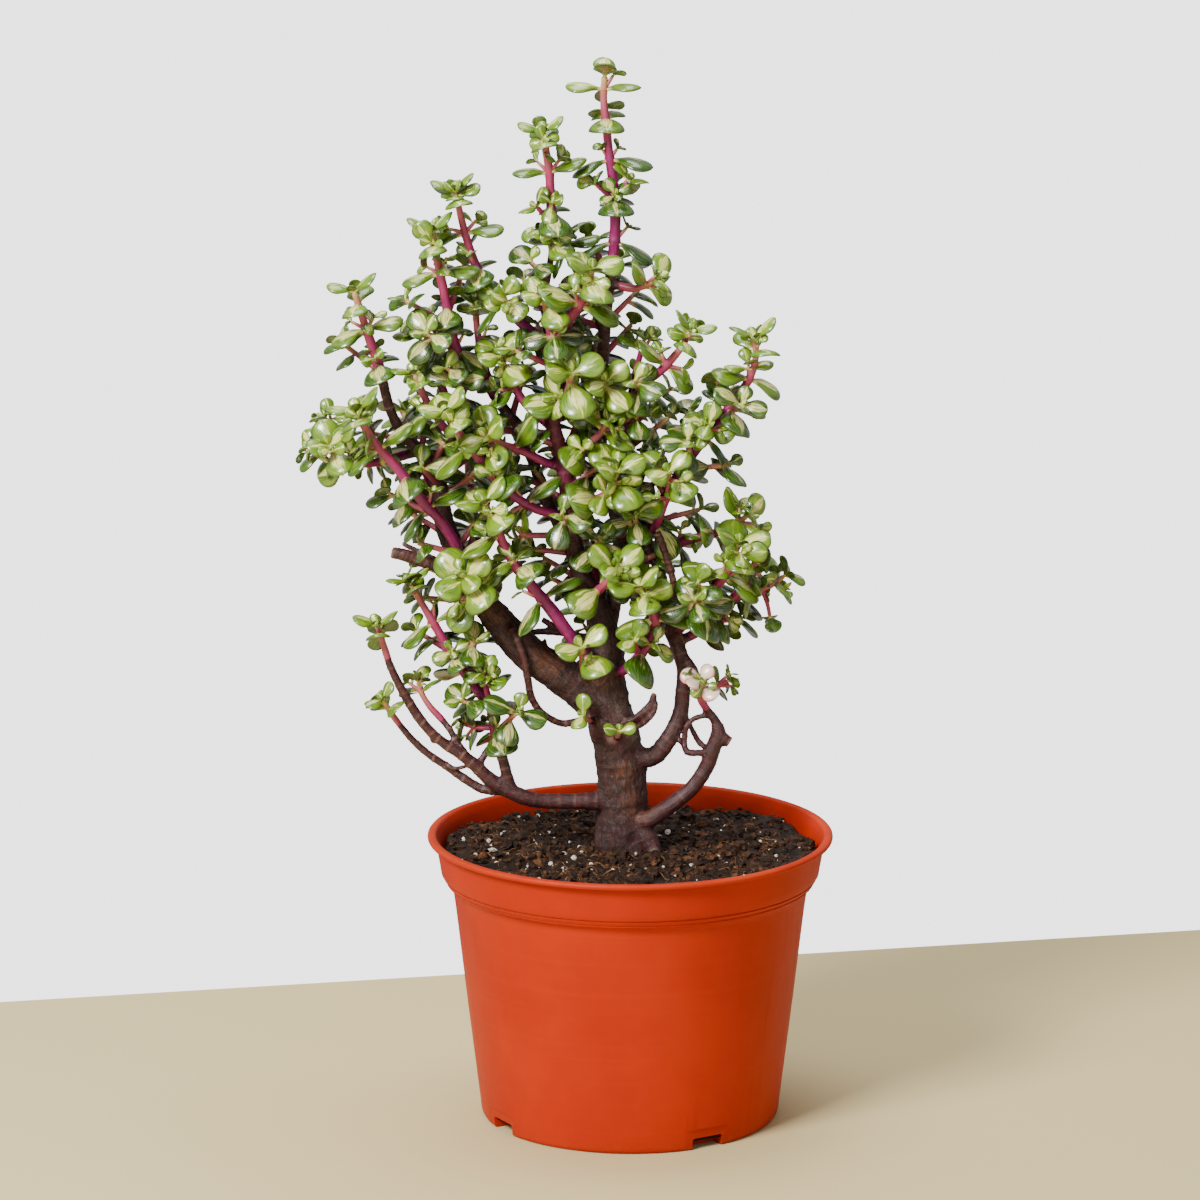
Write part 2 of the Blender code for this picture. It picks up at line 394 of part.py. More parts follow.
def tube(route, start, end, sides, step, grow=0.0):
    count = max(1, round((end - start) / step))
    verts, faces = [], []
    side = None
    for k in range(count + 1):
        place, heading, radius = route.at(start + (end - start) * k / count)
        if side is None:
            side = heading.orthogonal()
        side = (side - heading * side.dot(heading)).normalized()
        other = heading.cross(side)
        for j in range(sides):
            angle = 2 * math.pi * j / sides
            verts.append(place + (radius + grow) * (math.cos(angle) * side + math.sin(angle) * other))
    for k in range(count):
        for j in range(sides):
            a, b = k * sides + j, k * sides + (j + 1) % sides
            faces.append((a, b, b + sides, a + sides))
    faces.append(tuple(reversed(range(sides))))
    faces.append(tuple(count * sides + j for j in range(sides)))
    return verts, faces


def leaf(place, heading, out, length, pitch, yaw, grow=0.0):
    out = Matrix.Rotation(math.radians(yaw), 3, heading) @ out
    lift = math.radians(pitch)
    along = math.cos(lift) * out + math.sin(lift) * heading
    above = math.cos(lift) * heading - math.sin(lift) * out
    across = above.cross(along)
    rim = [(0.0, 0.0), *LEAF_OUTLINE, (1.0, 0.0)] + [(t, -w) for t, w in reversed(LEAF_OUTLINE)]
    verts = []
    for t, w in rim:
        sink = LEAF_RECURVE * t * t + LEAF_CUPPING * (w / 0.4) ** 2
        spread = w * length + math.copysign(grow, w) * (w != 0.0)
        reach = t * length + grow * (t > 0.9)
        verts.append(place + along * reach + across * spread - above * sink * length)
    bend = LEAF_RECURVE * LEAF_CROWN ** 2
    verts.append(place + along * LEAF_CROWN * length + above * ((LEAF_ABOVE - bend) * length + grow))
    verts.append(place + along * LEAF_CROWN * length - above * ((LEAF_BELOW + bend) * length + grow))
    count = len(rim)
    faces = []
    for k in range(count):
        following = (k + 1) % count
        faces.append((following, k, count))
        faces.append((k, following, count + 1))
    return verts, faces


def make_object(name, verts, faces):
    mesh = bpy.data.meshes.new(name)
    mesh.from_pydata([Vector(v) * MM for v in verts], [], faces)
    made = bpy.data.objects.new(name, mesh)
    bpy.context.scene.collection.objects.link(made)
    return made


def make_material(made, look):
    colour, roughness = look
    material = bpy.data.materials.new(made.name)
    material.use_nodes = True
    shader = material.node_tree.nodes["Principled BSDF"]
    shader.inputs["Base Color"].default_value = (*colour, 1.0)
    shader.inputs["Roughness"].default_value = roughness
    made.data.materials.clear()
    made.data.materials.append(material)


def turned(profile):
    verts = [(r * math.sin(2 * math.pi * k / TURNS), -r * math.cos(2 * math.pi * k / TURNS), z)
             for r, z in profile for k in range(TURNS)]
    rings = len(profile)
    faces = []
    for i in range(rings - 1):
        for k in range(TURNS):
            a, b = i * TURNS + k, i * TURNS + (k + 1) % TURNS
            faces.append((a, b, b + TURNS, a + TURNS))
    faces.append(tuple(reversed(range(TURNS))))
    faces.append(tuple((rings - 1) * TURNS + k for k in range(TURNS)))
    return verts, faces


def inner_radius(z):
    if z > WALL_TOP:
        share = min(1.0, (z - WALL_TOP) / (COLLAR_FOOT - WALL_TOP))
        return WALL_TOP_RADIUS + share * (COLLAR_RADIUS - 2.0 - WALL_TOP_RADIUS) - WALL
    return BASE_RADIUS + (WALL_TOP_RADIUS - BASE_RADIUS) * z / WALL_TOP - WALL


def box_cutter(name, width, depth, height, reach, angle):
    turn = Matrix.Rotation(math.radians(angle), 4, "Z")
    lean = (WALL_TOP_RADIUS - BASE_RADIUS) / WALL_TOP
    corners = [(x * width / 2, -(reach + y + lean * z), z) for x in (-1, 1) for y in (0, depth)
               for z in (-1.0, height)]
    faces = [(0, 1, 3, 2), (4, 6, 7, 5), (0, 4, 5, 1), (2, 3, 7, 6), (0, 2, 6, 4), (1, 5, 7, 3)]
    cutter = make_object(name, [turn @ Vector(c) for c in corners], faces)
    fix = bmesh.new()
    fix.from_mesh(cutter.data)
    bmesh.ops.recalc_face_normals(fix, faces=fix.faces)
    fix.to_mesh(cutter.data)
    fix.free()
    return cutter


def apply_boolean(made, others, operation):
    group = bpy.data.collections.new("operands")
    bpy.context.scene.collection.children.link(group)
    for other in others:
        for owner in other.users_collection:
            owner.objects.unlink(other)
        group.objects.link(other)
    boolean = made.modifiers.new("boolean", "BOOLEAN")
    boolean.operation = operation
    boolean.operand_type = "COLLECTION"
    boolean.collection = group
    boolean.solver = "EXACT"
    bpy.context.view_layer.update()
    result = bpy.data.meshes.new_from_object(made.evaluated_get(bpy.context.evaluated_depsgraph_get()))
    made.modifiers.clear()
    made.data = result
    made.data.name = made.name
    for other in list(group.objects):
        bpy.data.objects.remove(other)
    bpy.data.collections.remove(group)


def make_pot():
    collar_top = POT_HEIGHT - LIP_HEIGHT
    profile = [
        (BASE_RADIUS - CORNER, 0.0), (BASE_RADIUS - 0.6, 0.7), (BASE_RADIUS, CORNER),
        (WALL_TOP_RADIUS, WALL_TOP), (COLLAR_RADIUS - 2.2, COLLAR_FOOT - 0.8),
        (COLLAR_RADIUS - 1.8, COLLAR_FOOT), (COLLAR_RADIUS, collar_top), (RIM_RADIUS - 0.6, collar_top + 0.1),
        (RIM_RADIUS, collar_top + 0.9), (RIM_RADIUS - 0.2, POT_HEIGHT - 0.6), (RIM_RADIUS - 1.0, POT_HEIGHT),
        (COLLAR_RADIUS - WALL + 0.6, POT_HEIGHT), (COLLAR_RADIUS - WALL, POT_HEIGHT - 0.7),
        (inner_radius(COLLAR_FOOT), COLLAR_FOOT), (inner_radius(WALL_TOP), WALL_TOP),
        (inner_radius(FLOOR), FLOOR),
    ]
    pot = make_object("pot", *turned(profile))
    width, depth, height = DRAIN_RECESS
    slot_width, slot_depth, slot_height = DRAIN_SLOT
    cutters = []
    for angle in DRAIN_ANGLES:
        cutters.append(box_cutter("recess", width, 20.0, height, BASE_RADIUS - depth, angle))
        cutters.append(box_cutter("slot", slot_width, 20.0, slot_height, BASE_RADIUS - slot_depth, angle))
    apply_boolean(pot, cutters, "DIFFERENCE")
    make_material(pot, POT_LOOK)
    pot.data.shade_smooth()
    pot.data.set_sharp_from_angle(angle=math.radians(35))
    return pot


def soil_height(x, y):
    from_trunk = math.hypot(x + 2.0, y) / 60.0
    lumps = (math.sin(x * 0.21 + 1.3) * math.cos(y * 0.17 + 0.4) + 0.7 * math.sin(x * 0.37 - y * 0.29)
             + 0.5 * math.cos(x * 0.11 + y * 0.43 + 2.0))
    return SOIL_EDGE + SOIL_MOUND * math.exp(-from_trunk * from_trunk * 2.2) + SOIL_LUMP * lumps


def make_soil(trunk_route, root_route):
    verts, faces = [], []
    lower = [(inner_radius(FLOOR + GAP) - GAP, FLOOR + GAP), (inner_radius(WALL_TOP) - GAP, WALL_TOP),
             (inner_radius(COLLAR_FOOT) - GAP, COLLAR_FOOT)]
    top_radius = inner_radius(COLLAR_FOOT) + 0.7 - GAP
    for r, z in lower:
        for k in range(TURNS):
            angle = 2 * math.pi * k / TURNS
            verts.append((r * math.sin(angle), -r * math.cos(angle), z))
    for share in SOIL_RINGS:
        for k in range(TURNS):
            angle = 2 * math.pi * k / TURNS
            x, y = top_radius * share * math.sin(angle), -top_radius * share * math.cos(angle)
            verts.append((x, y, soil_height(x, y)))
    rings = len(lower) + len(SOIL_RINGS)
    for i in range(rings - 1):
        for k in range(TURNS):
            a, b = i * TURNS + k, i * TURNS + (k + 1) % TURNS
            faces.append((a, b, b + TURNS, a + TURNS))
    faces.append(tuple(reversed(range(TURNS))))
    verts.append((0.0, 0.0, soil_height(0.0, 0.0)))
    for k in range(TURNS):
        faces.append(((rings - 1) * TURNS + k, (rings - 1) * TURNS + (k + 1) % TURNS, rings * TURNS))
    soil = make_object("soil", verts, faces)
    trunk_hole = tube(trunk_route, 0.0, HOLE_RINGS * TRUNK_STEP, TRUNK_SIDES, TRUNK_STEP, GAP + 0.1)
    foot = trunk_route.at(0.0)[1] * GAP
    sunk = [v - foot * (i < TRUNK_SIDES) for i, v in enumerate(trunk_hole[0])]
    root_hole = tube(root_route, 0.0, root_route.length, ROOT_SIDES, ROOT_STEP, GAP + 0.1)
    last_ring = len(root_hole[0]) - ROOT_SIDES
    tip = root_route.at(root_route.length)[1] * GAP
    lowered = [v + tip * (i >= last_ring) for i, v in enumerate(root_hole[0])]
    cutters = [make_object("trunk_hole", sunk, trunk_hole[1]),
               make_object("root_hole", lowered, root_hole[1])]
    apply_boolean(soil, cutters, "DIFFERENCE")
    make_material(soil, SOIL_LOOK)
    return soil


def leaf_frames(route, start, settings, draw):
    """Places of the leaf pairs, from the tip down: mark, size, pitch and angle of each leaf."""
    mark = route.length - 0.6
    angle = settings["turn"]
    found = []
    for pair in range(settings.get("pairs", 99)):
        if mark < start + settings["bare"]:
            break
        step = min(pair, len(LEAF_SIZES) - 1)
        size = settings["full"] * LEAF_SIZES[step] * draw.uniform(0.93, 1.06)
        pitch = LEAF_PITCHES[step] + draw.uniform(-7, 7)
        for half in (0, 180):
            found.append((mark, size * draw.uniform(0.95, 1.05), pitch + draw.uniform(-5, 5),
                          angle + half + draw.uniform(-6, 6)))
        angle += 90
        mark -= LEAF_STEPS[min(pair, len(LEAF_STEPS) - 1)] * draw.uniform(0.9, 1.1)
    return found


def outward(heading, angle):
    reference = Vector((1, 0, 0)) if abs(heading.x) < 0.85 else Vector((0, 0, 1))
    side = (reference - heading * reference.dot(heading)).normalized()
    return Matrix.Rotation(math.radians(angle), 3, heading) @ side


def tree_of(pieces):
    verts, faces = [], []
    for piece_verts, piece_faces in pieces:
        base = len(verts)
        verts.extend(piece_verts)
        faces.extend(tuple(base + i for i in face) for face in piece_faces)
    return BVHTree.FromPolygons(verts, faces) if faces else None


def place_leaves(stems, name, obstacles, draw):
    """Leaves of one shoot that are clear of every other node and of each other's blades."""
    settings = SHOOTS[name]
    placed, blades = [], []
    for route, start, shape in stems:
        for mark, size, pitch, angle in leaf_frames(route, start, shape, draw):
            place, heading, radius = route.at(mark)
            out = outward(heading, angle)
            foot = place - out * radius * LEAF_FOOT
            for more_pitch, yaw, scale in LEAF_TRIES:
                length = size * scale + radius
                grown = leaf(foot, heading, out, length, pitch + more_pitch, yaw, GAP + 0.1)
                probe = BVHTree.FromPolygons(*grown)
                if any(tree.overlap(probe) for tree in obstacles):
                    continue
                blade_foot = place + out * (radius + 0.9)
                blade = leaf(blade_foot, heading, out, size * scale * 0.82, pitch + more_pitch, yaw)
                own = BVHTree.FromPolygons(*blade)
                if any(tree.overlap(own) for tree in blades):
                    continue
                placed.append(leaf(foot, heading, out, length, pitch + more_pitch, yaw))
                blades.append(own)
                break
    return placed


def build():
    for thing in list(bpy.data.objects):
        bpy.data.objects.remove(thing)
    trunk_route = Route(TRUNK)
    root_route = Route(ROOT)
    pot = make_pot()
    soil = make_soil(trunk_route, root_route)

    wood = [tube(trunk_route, 0.0, trunk_route.length, TRUNK_SIDES, TRUNK_STEP),
            tube(root_route, 0.0, root_route.length, ROOT_SIDES, ROOT_STEP)]
    for points in TWIGS.values():
        route = Route(points)
        wood.append(tube(route, 0.0, route.length, TWIG_SIDES, TWIG_STEP))
    stems = {}
    for name, settings in SHOOTS.items():
        route = Route(settings["route"])
        sides = LIMB_SIDES if settings["route"][0][3] > 3.2 else BRANCH_SIDES
        wood.append(tube(route, 0.0, settings["bark"], sides, BRANCH_STEP))
        stems[name] = [(route, settings["bark"] + GAP, settings)]
        for points in settings.get("arms", []):
            arm = Route(points)
            pairs = 1 if arm.length < ARM_LENGTH else 2
            shape = dict(turn=settings["turn"] + 50, full=settings["full"] * ARM_LEAF, bare=1.5, pairs=pairs)
            stems[name].append((arm, 0.0, shape))
    trunk = make_object("trunk", *wood[0])
    apply_boolean(trunk, [make_object("branch", *piece) for piece in wood[1:]], "UNION")
    make_material(trunk, BARK_LOOK)
    trunk.data.shade_smooth()
    trunk.data.set_sharp_from_angle(angle=math.radians(50))

    tubes = {name: [tube(route, start, route.length, STEM_SIDES if start else ARM_SIDES, STEM_STEP)
                    for route, start, shape in found] for name, found in stems.items()}
    fixed = tree_of(wood)
    trees = {name: tree_of(found) for name, found in tubes.items()}
    grown = {}
    for order, name in enumerate(SHOOTS):
        obstacles = [fixed] + [tree for other, tree in trees.items() if other != name]
        obstacles += list(grown.values())
        leaves = place_leaves(stems[name], name, obstacles, random.Random(40 + order))
        grown[name] = tree_of(leaves)
        shoot = make_object("shoot_" + name, *tubes[name][0])
        pieces = [make_object("piece", *piece) for piece in tubes[name][1:] + leaves]
        apply_boolean(shoot, pieces, "UNION")
        make_material(shoot, PINK_LOOK if name == "pink_tipped" else LEAF_LOOK)


build()
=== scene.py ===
# Dwarf jade bonsai in an orange nursery pot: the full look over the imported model.
# +Z is up and the front looks toward -Y. Tables are in millimetres, meshes in metres.
import json
import math
import random

import bmesh
import bpy
from mathutils import Matrix, Vector, noise
from mathutils.bvhtree import BVHTree
from mathutils.kdtree import KDTree

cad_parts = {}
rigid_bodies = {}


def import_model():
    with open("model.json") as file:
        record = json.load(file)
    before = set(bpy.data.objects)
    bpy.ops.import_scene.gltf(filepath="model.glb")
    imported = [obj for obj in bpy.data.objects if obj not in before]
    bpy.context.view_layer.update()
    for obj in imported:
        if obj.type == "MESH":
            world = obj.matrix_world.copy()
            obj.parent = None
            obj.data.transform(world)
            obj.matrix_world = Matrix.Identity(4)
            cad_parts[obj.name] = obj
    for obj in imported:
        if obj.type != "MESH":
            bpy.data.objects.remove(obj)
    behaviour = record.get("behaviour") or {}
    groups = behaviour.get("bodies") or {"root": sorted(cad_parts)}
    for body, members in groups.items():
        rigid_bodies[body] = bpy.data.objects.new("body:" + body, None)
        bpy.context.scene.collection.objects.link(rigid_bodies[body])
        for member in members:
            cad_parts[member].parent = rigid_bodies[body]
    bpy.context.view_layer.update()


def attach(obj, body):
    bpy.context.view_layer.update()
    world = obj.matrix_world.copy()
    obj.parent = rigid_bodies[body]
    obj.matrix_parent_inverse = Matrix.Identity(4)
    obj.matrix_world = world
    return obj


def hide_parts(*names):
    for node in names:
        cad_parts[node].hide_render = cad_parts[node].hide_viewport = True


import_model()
mm = 0.001
print("packed model loaded")

# Camera, light and floor
view = dict(place=(-11.35, -2200.0, 698.6), tilt=12.81, lens=181.62, sensor=36.0)
light = dict(
    key=dict(place=(-1000, -1250, 1350), size=620, power=74, colour=(1.0, 0.985, 0.96)),
    front=dict(place=(500, -1900, 500), size=1200, power=6, colour=(1.0, 0.99, 0.98)),
    top=dict(place=(-100, 250, 1500), size=900, power=18, colour=(1.0, 1.0, 1.0)),
    air=(0.97, 0.965, 1.0), airPower=0.4, backdrop=(1.0, 0.985, 1.005), backdropPower=3.0)
floor = dict(back=[(-253, 142), (241, 248)], reach=3000, colour=(0.60, 0.49, 0.24))


def newObject(name, data):
    made = bpy.data.objects.new(name, data)
    bpy.context.scene.collection.objects.link(made)
    return made


def aimAt(thing, target):
    thing.rotation_euler = (Vector(target) * mm - thing.location).to_track_quat("-Z", "Y").to_euler()


def makeView():
    camera = newObject("view", bpy.data.cameras.new("view"))
    camera.location = Vector(view["place"]) * mm
    camera.rotation_euler = (math.radians(90 - view["tilt"]), 0, 0)
    camera.data.lens = view["lens"]
    camera.data.sensor_width = view["sensor"]
    camera.data.clip_end = 30
    bpy.context.scene.camera = camera


def makeLight():
    for name in ("key", "front", "top"):
        numbers = light[name]
        lamp = bpy.data.lights.new(name, "AREA")
        lamp.size = numbers["size"] * mm
        lamp.energy = numbers["power"]
        lamp.color = numbers["colour"]
        held = newObject(name, lamp)
        held.location = Vector(numbers["place"]) * mm
        aimAt(held, (0, 0, 200))
    air = bpy.data.worlds.new("air")
    air.use_nodes = True
    tree = air.node_tree
    soft = tree.nodes["Background"]
    soft.inputs["Color"].default_value = (*light["air"], 1)
    soft.inputs["Strength"].default_value = light["airPower"]
    plain = tree.nodes.new("ShaderNodeBackground")  # what the camera sees behind the floor
    plain.inputs["Color"].default_value = (*light["backdrop"], 1)
    plain.inputs["Strength"].default_value = light["backdropPower"]
    path = tree.nodes.new("ShaderNodeLightPath")
    both = tree.nodes.new("ShaderNodeMixShader")
    tree.links.new(path.outputs["Is Camera Ray"], both.inputs[0])
    tree.links.new(soft.outputs[0], both.inputs[1])
    tree.links.new(plain.outputs[0], both.inputs[2])
    tree.links.new(both.outputs[0], tree.nodes["World Output"].inputs["Surface"])
    bpy.context.scene.world = air


def makeFloor():
    (x1, y1), (x2, y2) = floor["back"]
    slope = (y2 - y1) / (x2 - x1)
    far = floor["reach"]
    corners = [(-far, y1 + (-far - x1) * slope), (far, y1 + (far - x1) * slope), (far, -far), (-far, -far)]
    mesh = bpy.data.meshes.new("floor")
    mesh.from_pydata([(x * mm, y * mm, 0) for x, y in corners], [], [(3, 2, 1, 0)])
    ground = newObject("floor", mesh)
    paint = bpy.data.materials.new("floorPaint")
    paint.use_nodes = True
    shader = paint.node_tree.nodes["Principled BSDF"]
    shader.inputs["Base Color"].default_value = (*floor["colour"], 1)
    shader.inputs["Roughness"].default_value = 0.75
    mesh.materials.append(paint)


makeView()
makeLight()
makeFloor()
print("camera, light and floor ready")


# Small helpers for meshes and node materials
def addMesh(name, verts, faces, maps=None, skins=(), skinOf=None, smooth=True):
    mesh = bpy.data.meshes.new(name)
    mesh.from_pydata(verts, [], faces)
    putMaps(mesh, maps or {})
    for skin in skins:
        mesh.materials.append(skin)
    if skinOf:
        mesh.polygons.foreach_set("material_index", skinOf)
    if smooth:
        mesh.shade_smooth()
    return newObject(name, mesh)


def putMaps(mesh, maps):
    for key, values in maps.items():
        layer = mesh.attributes.new(key, "FLOAT_VECTOR", "POINT")
        layer.data.foreach_set("vector", [part for value in values for part in value])


# Faces between rings that follow each other and have the same number of points
def ringFaces(start, rows, around, turned=False):
    faces = []
    for i in range(rows):
        for j in range(around):
            a, b = start + i * around + j, start + i * around + (j + 1) % around
            faces.append((a, a + around, b + around, b) if turned else (a, b, b + around, a + around))
    return faces


def circle(r, z, turns):  # starts at the front
    return [Vector((r * math.sin(2 * math.pi * k / turns), -r * math.cos(2 * math.pi * k / turns), z)) * mm
            for k in range(turns)]


def unit(value):
    return max(0.0, min(1.0, value))


# Short calls for building one material's nodes
class Nodes:
    def __init__(self, name):
        self.skin = bpy.data.materials.new(name)
        self.skin.use_nodes = True
        self.tree = self.skin.node_tree
        self.shader = self.tree.nodes["Principled BSDF"]

    def add(self, kind, inputs=None, **settings):
        node = self.tree.nodes.new(kind)
        for key, value in settings.items():
            setattr(node, key, value)
        for key, value in (inputs or {}).items():
            self.put(node.inputs[key], value)
        return node

    def put(self, socket, value):
        if isinstance(value, bpy.types.NodeSocket):
            self.tree.links.new(value, socket)
        else:
            socket.default_value = value

    def shade(self, name, value):
        self.put(self.shader.inputs[name], value)

    def maths(self, task, a, b=0.0):
        return self.add("ShaderNodeMath", {0: a, 1: b}, operation=task).outputs[0]

    def times(self, a, b):
        return self.maths("MULTIPLY", a, b)

    def fade(self, value, low, high, out0=0.0, out1=1.0):
        node = self.add("ShaderNodeMapRange", {"Value": value, "From Min": low, "From Max": high,
                                               "To Min": out0, "To Max": out1}, interpolation_type="SMOOTHSTEP")
        return node.outputs[0]

    def blend(self, share, first, second):
        node = self.add("ShaderNodeMix", data_type="RGBA")
        self.put(node.inputs[0], share)
        self.put(node.inputs[6], first)
        self.put(node.inputs[7], second)
        return node.outputs[2]

    def grain(self, place, scale, detail=3.0, rough=0.55, warp=0.0):
        node = self.add("ShaderNodeTexNoise", {"Vector": place, "Scale": scale, "Detail": detail,
                                               "Roughness": rough, "Distortion": warp})
        return node.outputs[0]

    def stretch(self, place, scale):
        return self.add("ShaderNodeVectorMath", {0: place, 1: scale}, operation="MULTIPLY").outputs[0]

    def shift(self, place, offset):
        return self.add("ShaderNodeVectorMath", {0: place, 1: offset}, operation="ADD").outputs[0]

    def triple(self, x, y, z):
        return self.add("ShaderNodeCombineXYZ", {0: x, 1: y, 2: z}).outputs[0]

    def stored(self, key):
        return self.add("ShaderNodeAttribute", attribute_name=key).outputs["Vector"]

    def split(self, vector):
        return self.add("ShaderNodeSeparateXYZ", {0: vector}).outputs

    def where(self):
        return self.add("ShaderNodeTexCoord").outputs["Object"]

    def bump(self, height, depth, strength=1.0, under=None):
        inputs = {"Height": height, "Distance": depth, "Strength": strength}
        if under is not None:
            inputs["Normal"] = under
        return self.add("ShaderNodeBump", inputs).outputs[0]


def colour(*levels):  # linear, from sRGB levels of 0 to 255
    return tuple(((v / 255 + 0.055) / 1.055) ** 2.4 if v > 10 else v / 255 / 12.92 for v in levels) + (1.0,)


# Routes of the wood and the stems. Each point is across, up, depth and radius. Across and up are where
# the point is seen from the front against an upright plane through the trunk.
eye = Vector(view["place"])

trunkRoute = [
    (-1, 62, 0, 9.4), (-1, 84, 0, 10.4), (-2, 99, 0, 11.2), (-3, 109, 0, 10.4), (-3, 119, 0, 9.7),
    (-3.2, 130, 0, 9.5), (-4.5, 141, 0, 9.3), (-7, 151, 0, 9.1), (-9, 161, 0, 8.6), (-9.5, 171, 0, 7.5),
    (-9, 180, 1, 6.4), (-10.5, 189, 1, 5.4), (-14, 198, 1, 4.8), (-17.5, 206, 1, 4.2), (-20, 215, 1, 3.6),
    (-21.5, 224, 1, 3.1), (-23, 234, 0, 2.8), (-24, 243, 0, 2.9), (-25, 250, 0, 3.0), (-26.5, 257, 0, 2.8),
    (-28.5, 265, -1, 2.5), (-28, 272, -2, 2.4), (-27.5, 280, -2, 2.6), (-29, 288, -2, 3.0),
    (-29.5, 294, -2, 3.0),
]
rootRoute = [(0, 116, -3, 4.6), (5, 109, -6, 4.2), (8.5, 102, -8, 3.4), (10, 94, -9, 2.6)]

# Bare wood that joins the trunk: cut stubs, loops of twig and links between branches
twigs = {
    "left_stub": [(-60, 210, 3, 3.2), (-70, 211.3, 1, 2.6), (-78, 213.5, 0, 2.4), (-84, 215.5, -1, 2.4),
                  (-89, 216.5, -1, 2.1)],
    "left_thin_stub": [(-61, 211, 5, 1.4), (-69, 212.5, 9, 1.2), (-76, 215.5, 10, 1.1), (-85, 220, 10, 0.9)],
    "hanging_twig": [(-46, 190, -4, 1.4), (-43.5, 186, -10, 1.5), (-41, 180, -11.5, 1.6),
                     (-39.3, 174, -12, 1.6), (-38.2, 167, -12, 1.5), (-37, 161, -11, 1.5),
                     (-34, 156, -10, 1.4), (-30, 152.8, -9, 1.4), (-25.5, 151, -8, 1.4),
                     (-20.5, 151.6, -7, 1.5), (-12, 154, -5, 1.5)],
    "dark_twig": [(-10, 183, 2, 1.8), (-19, 184.5, 6, 1.5), (-26, 186, 8, 1.5), (-32, 186.3, 8, 1.4),
                  (-38, 186, 8, 1.2)],
    "dark_fork": [(-25, 186, 8, 1.3), (-29, 188.5, 8, 1.3), (-33, 191, 8, 1.2)],
    "limb_spur": [(-31, 176, -3, 0.9), (-31.6, 181, -3, 0.8), (-32, 184, -3, 0.6)],
    "cut_twig": [(-5, 150, -5, 1.8), (1.5, 152.7, -9, 1.6), (5, 155.5, -10, 1.5), (8, 159, -10, 1.4),
                 (9, 162.7, -10, 1.3)],
    "cut_twig_arc": [(-3, 148, -5, 1.3), (3.5, 150, -9, 1.1), (7.5, 153.3, -11, 1.0),
                     (9.6, 157, -11, 0.95), (9.0, 160.5, -10.2, 0.95)],
    "right_knob": [(31, 147.5, -8, 2.4), (37.3, 143.6, -9, 2.2)],
    "right_link": [(31, 139.5, -8, 1.5), (25.5, 139.6, -9, 1.3), (21, 140, -9, 1.3), (20.3, 145, -8, 1.2),
                   (21.2, 150, -8, 1.2), (24, 153, -8, 1.1), (29.5, 154.2, -8.2, 1.1)],
    "right_cross": [(30, 140.5, -7, 1.2), (26, 143.5, -5, 1.2), (23.5, 148, -5, 1.1),
                    (21.3, 152.5, -4, 1.0), (18.6, 158, -3, 0.9)],
    "right_bridge": [(14.5, 147.5, -4, 1.4), (18.5, 144.5, -6, 1.1), (20.8, 141.5, -8.6, 1.0)],
    "right_second": [(30.2, 153.8, -7.8, 1.5), (27.2, 158.5, -4.6, 1.4), (25.4, 165, -3, 1.7),
                     (23.5, 171, -3, 2.1), (19, 177.5, 0, 2.2)],
    "dry_twig": [(14.5, 185, 1, 1.6), (15.6, 192, -3, 1.4), (16.2, 200, -5, 1.35), (15.6, 207, -6, 1.35),
                 (13.6, 214, -7, 1.4), (11.6, 220, -8, 1.5), (10, 224, -9, 1.5)],
    "low_left_link": [(-70, 135.3, -2, 0.9), (-65, 133.6, -5, 0.85), (-59, 135.5, -8, 0.9)],
    "low_left_spur": [(-71, 144.5, -8, 1.1), (-75, 144, -8, 0.9)],
    "low_left_fork": [(-57.5, 134, -8, 1.6), (-54.8, 138.5, -7, 1.4), (-53, 142, -5.5, 1.2)],
    "upper_stub": [(-31.5, 313, 9, 1.5), (-34.5, 318, 8, 1.4), (-37.5, 321.5, 7, 1.1)],
}

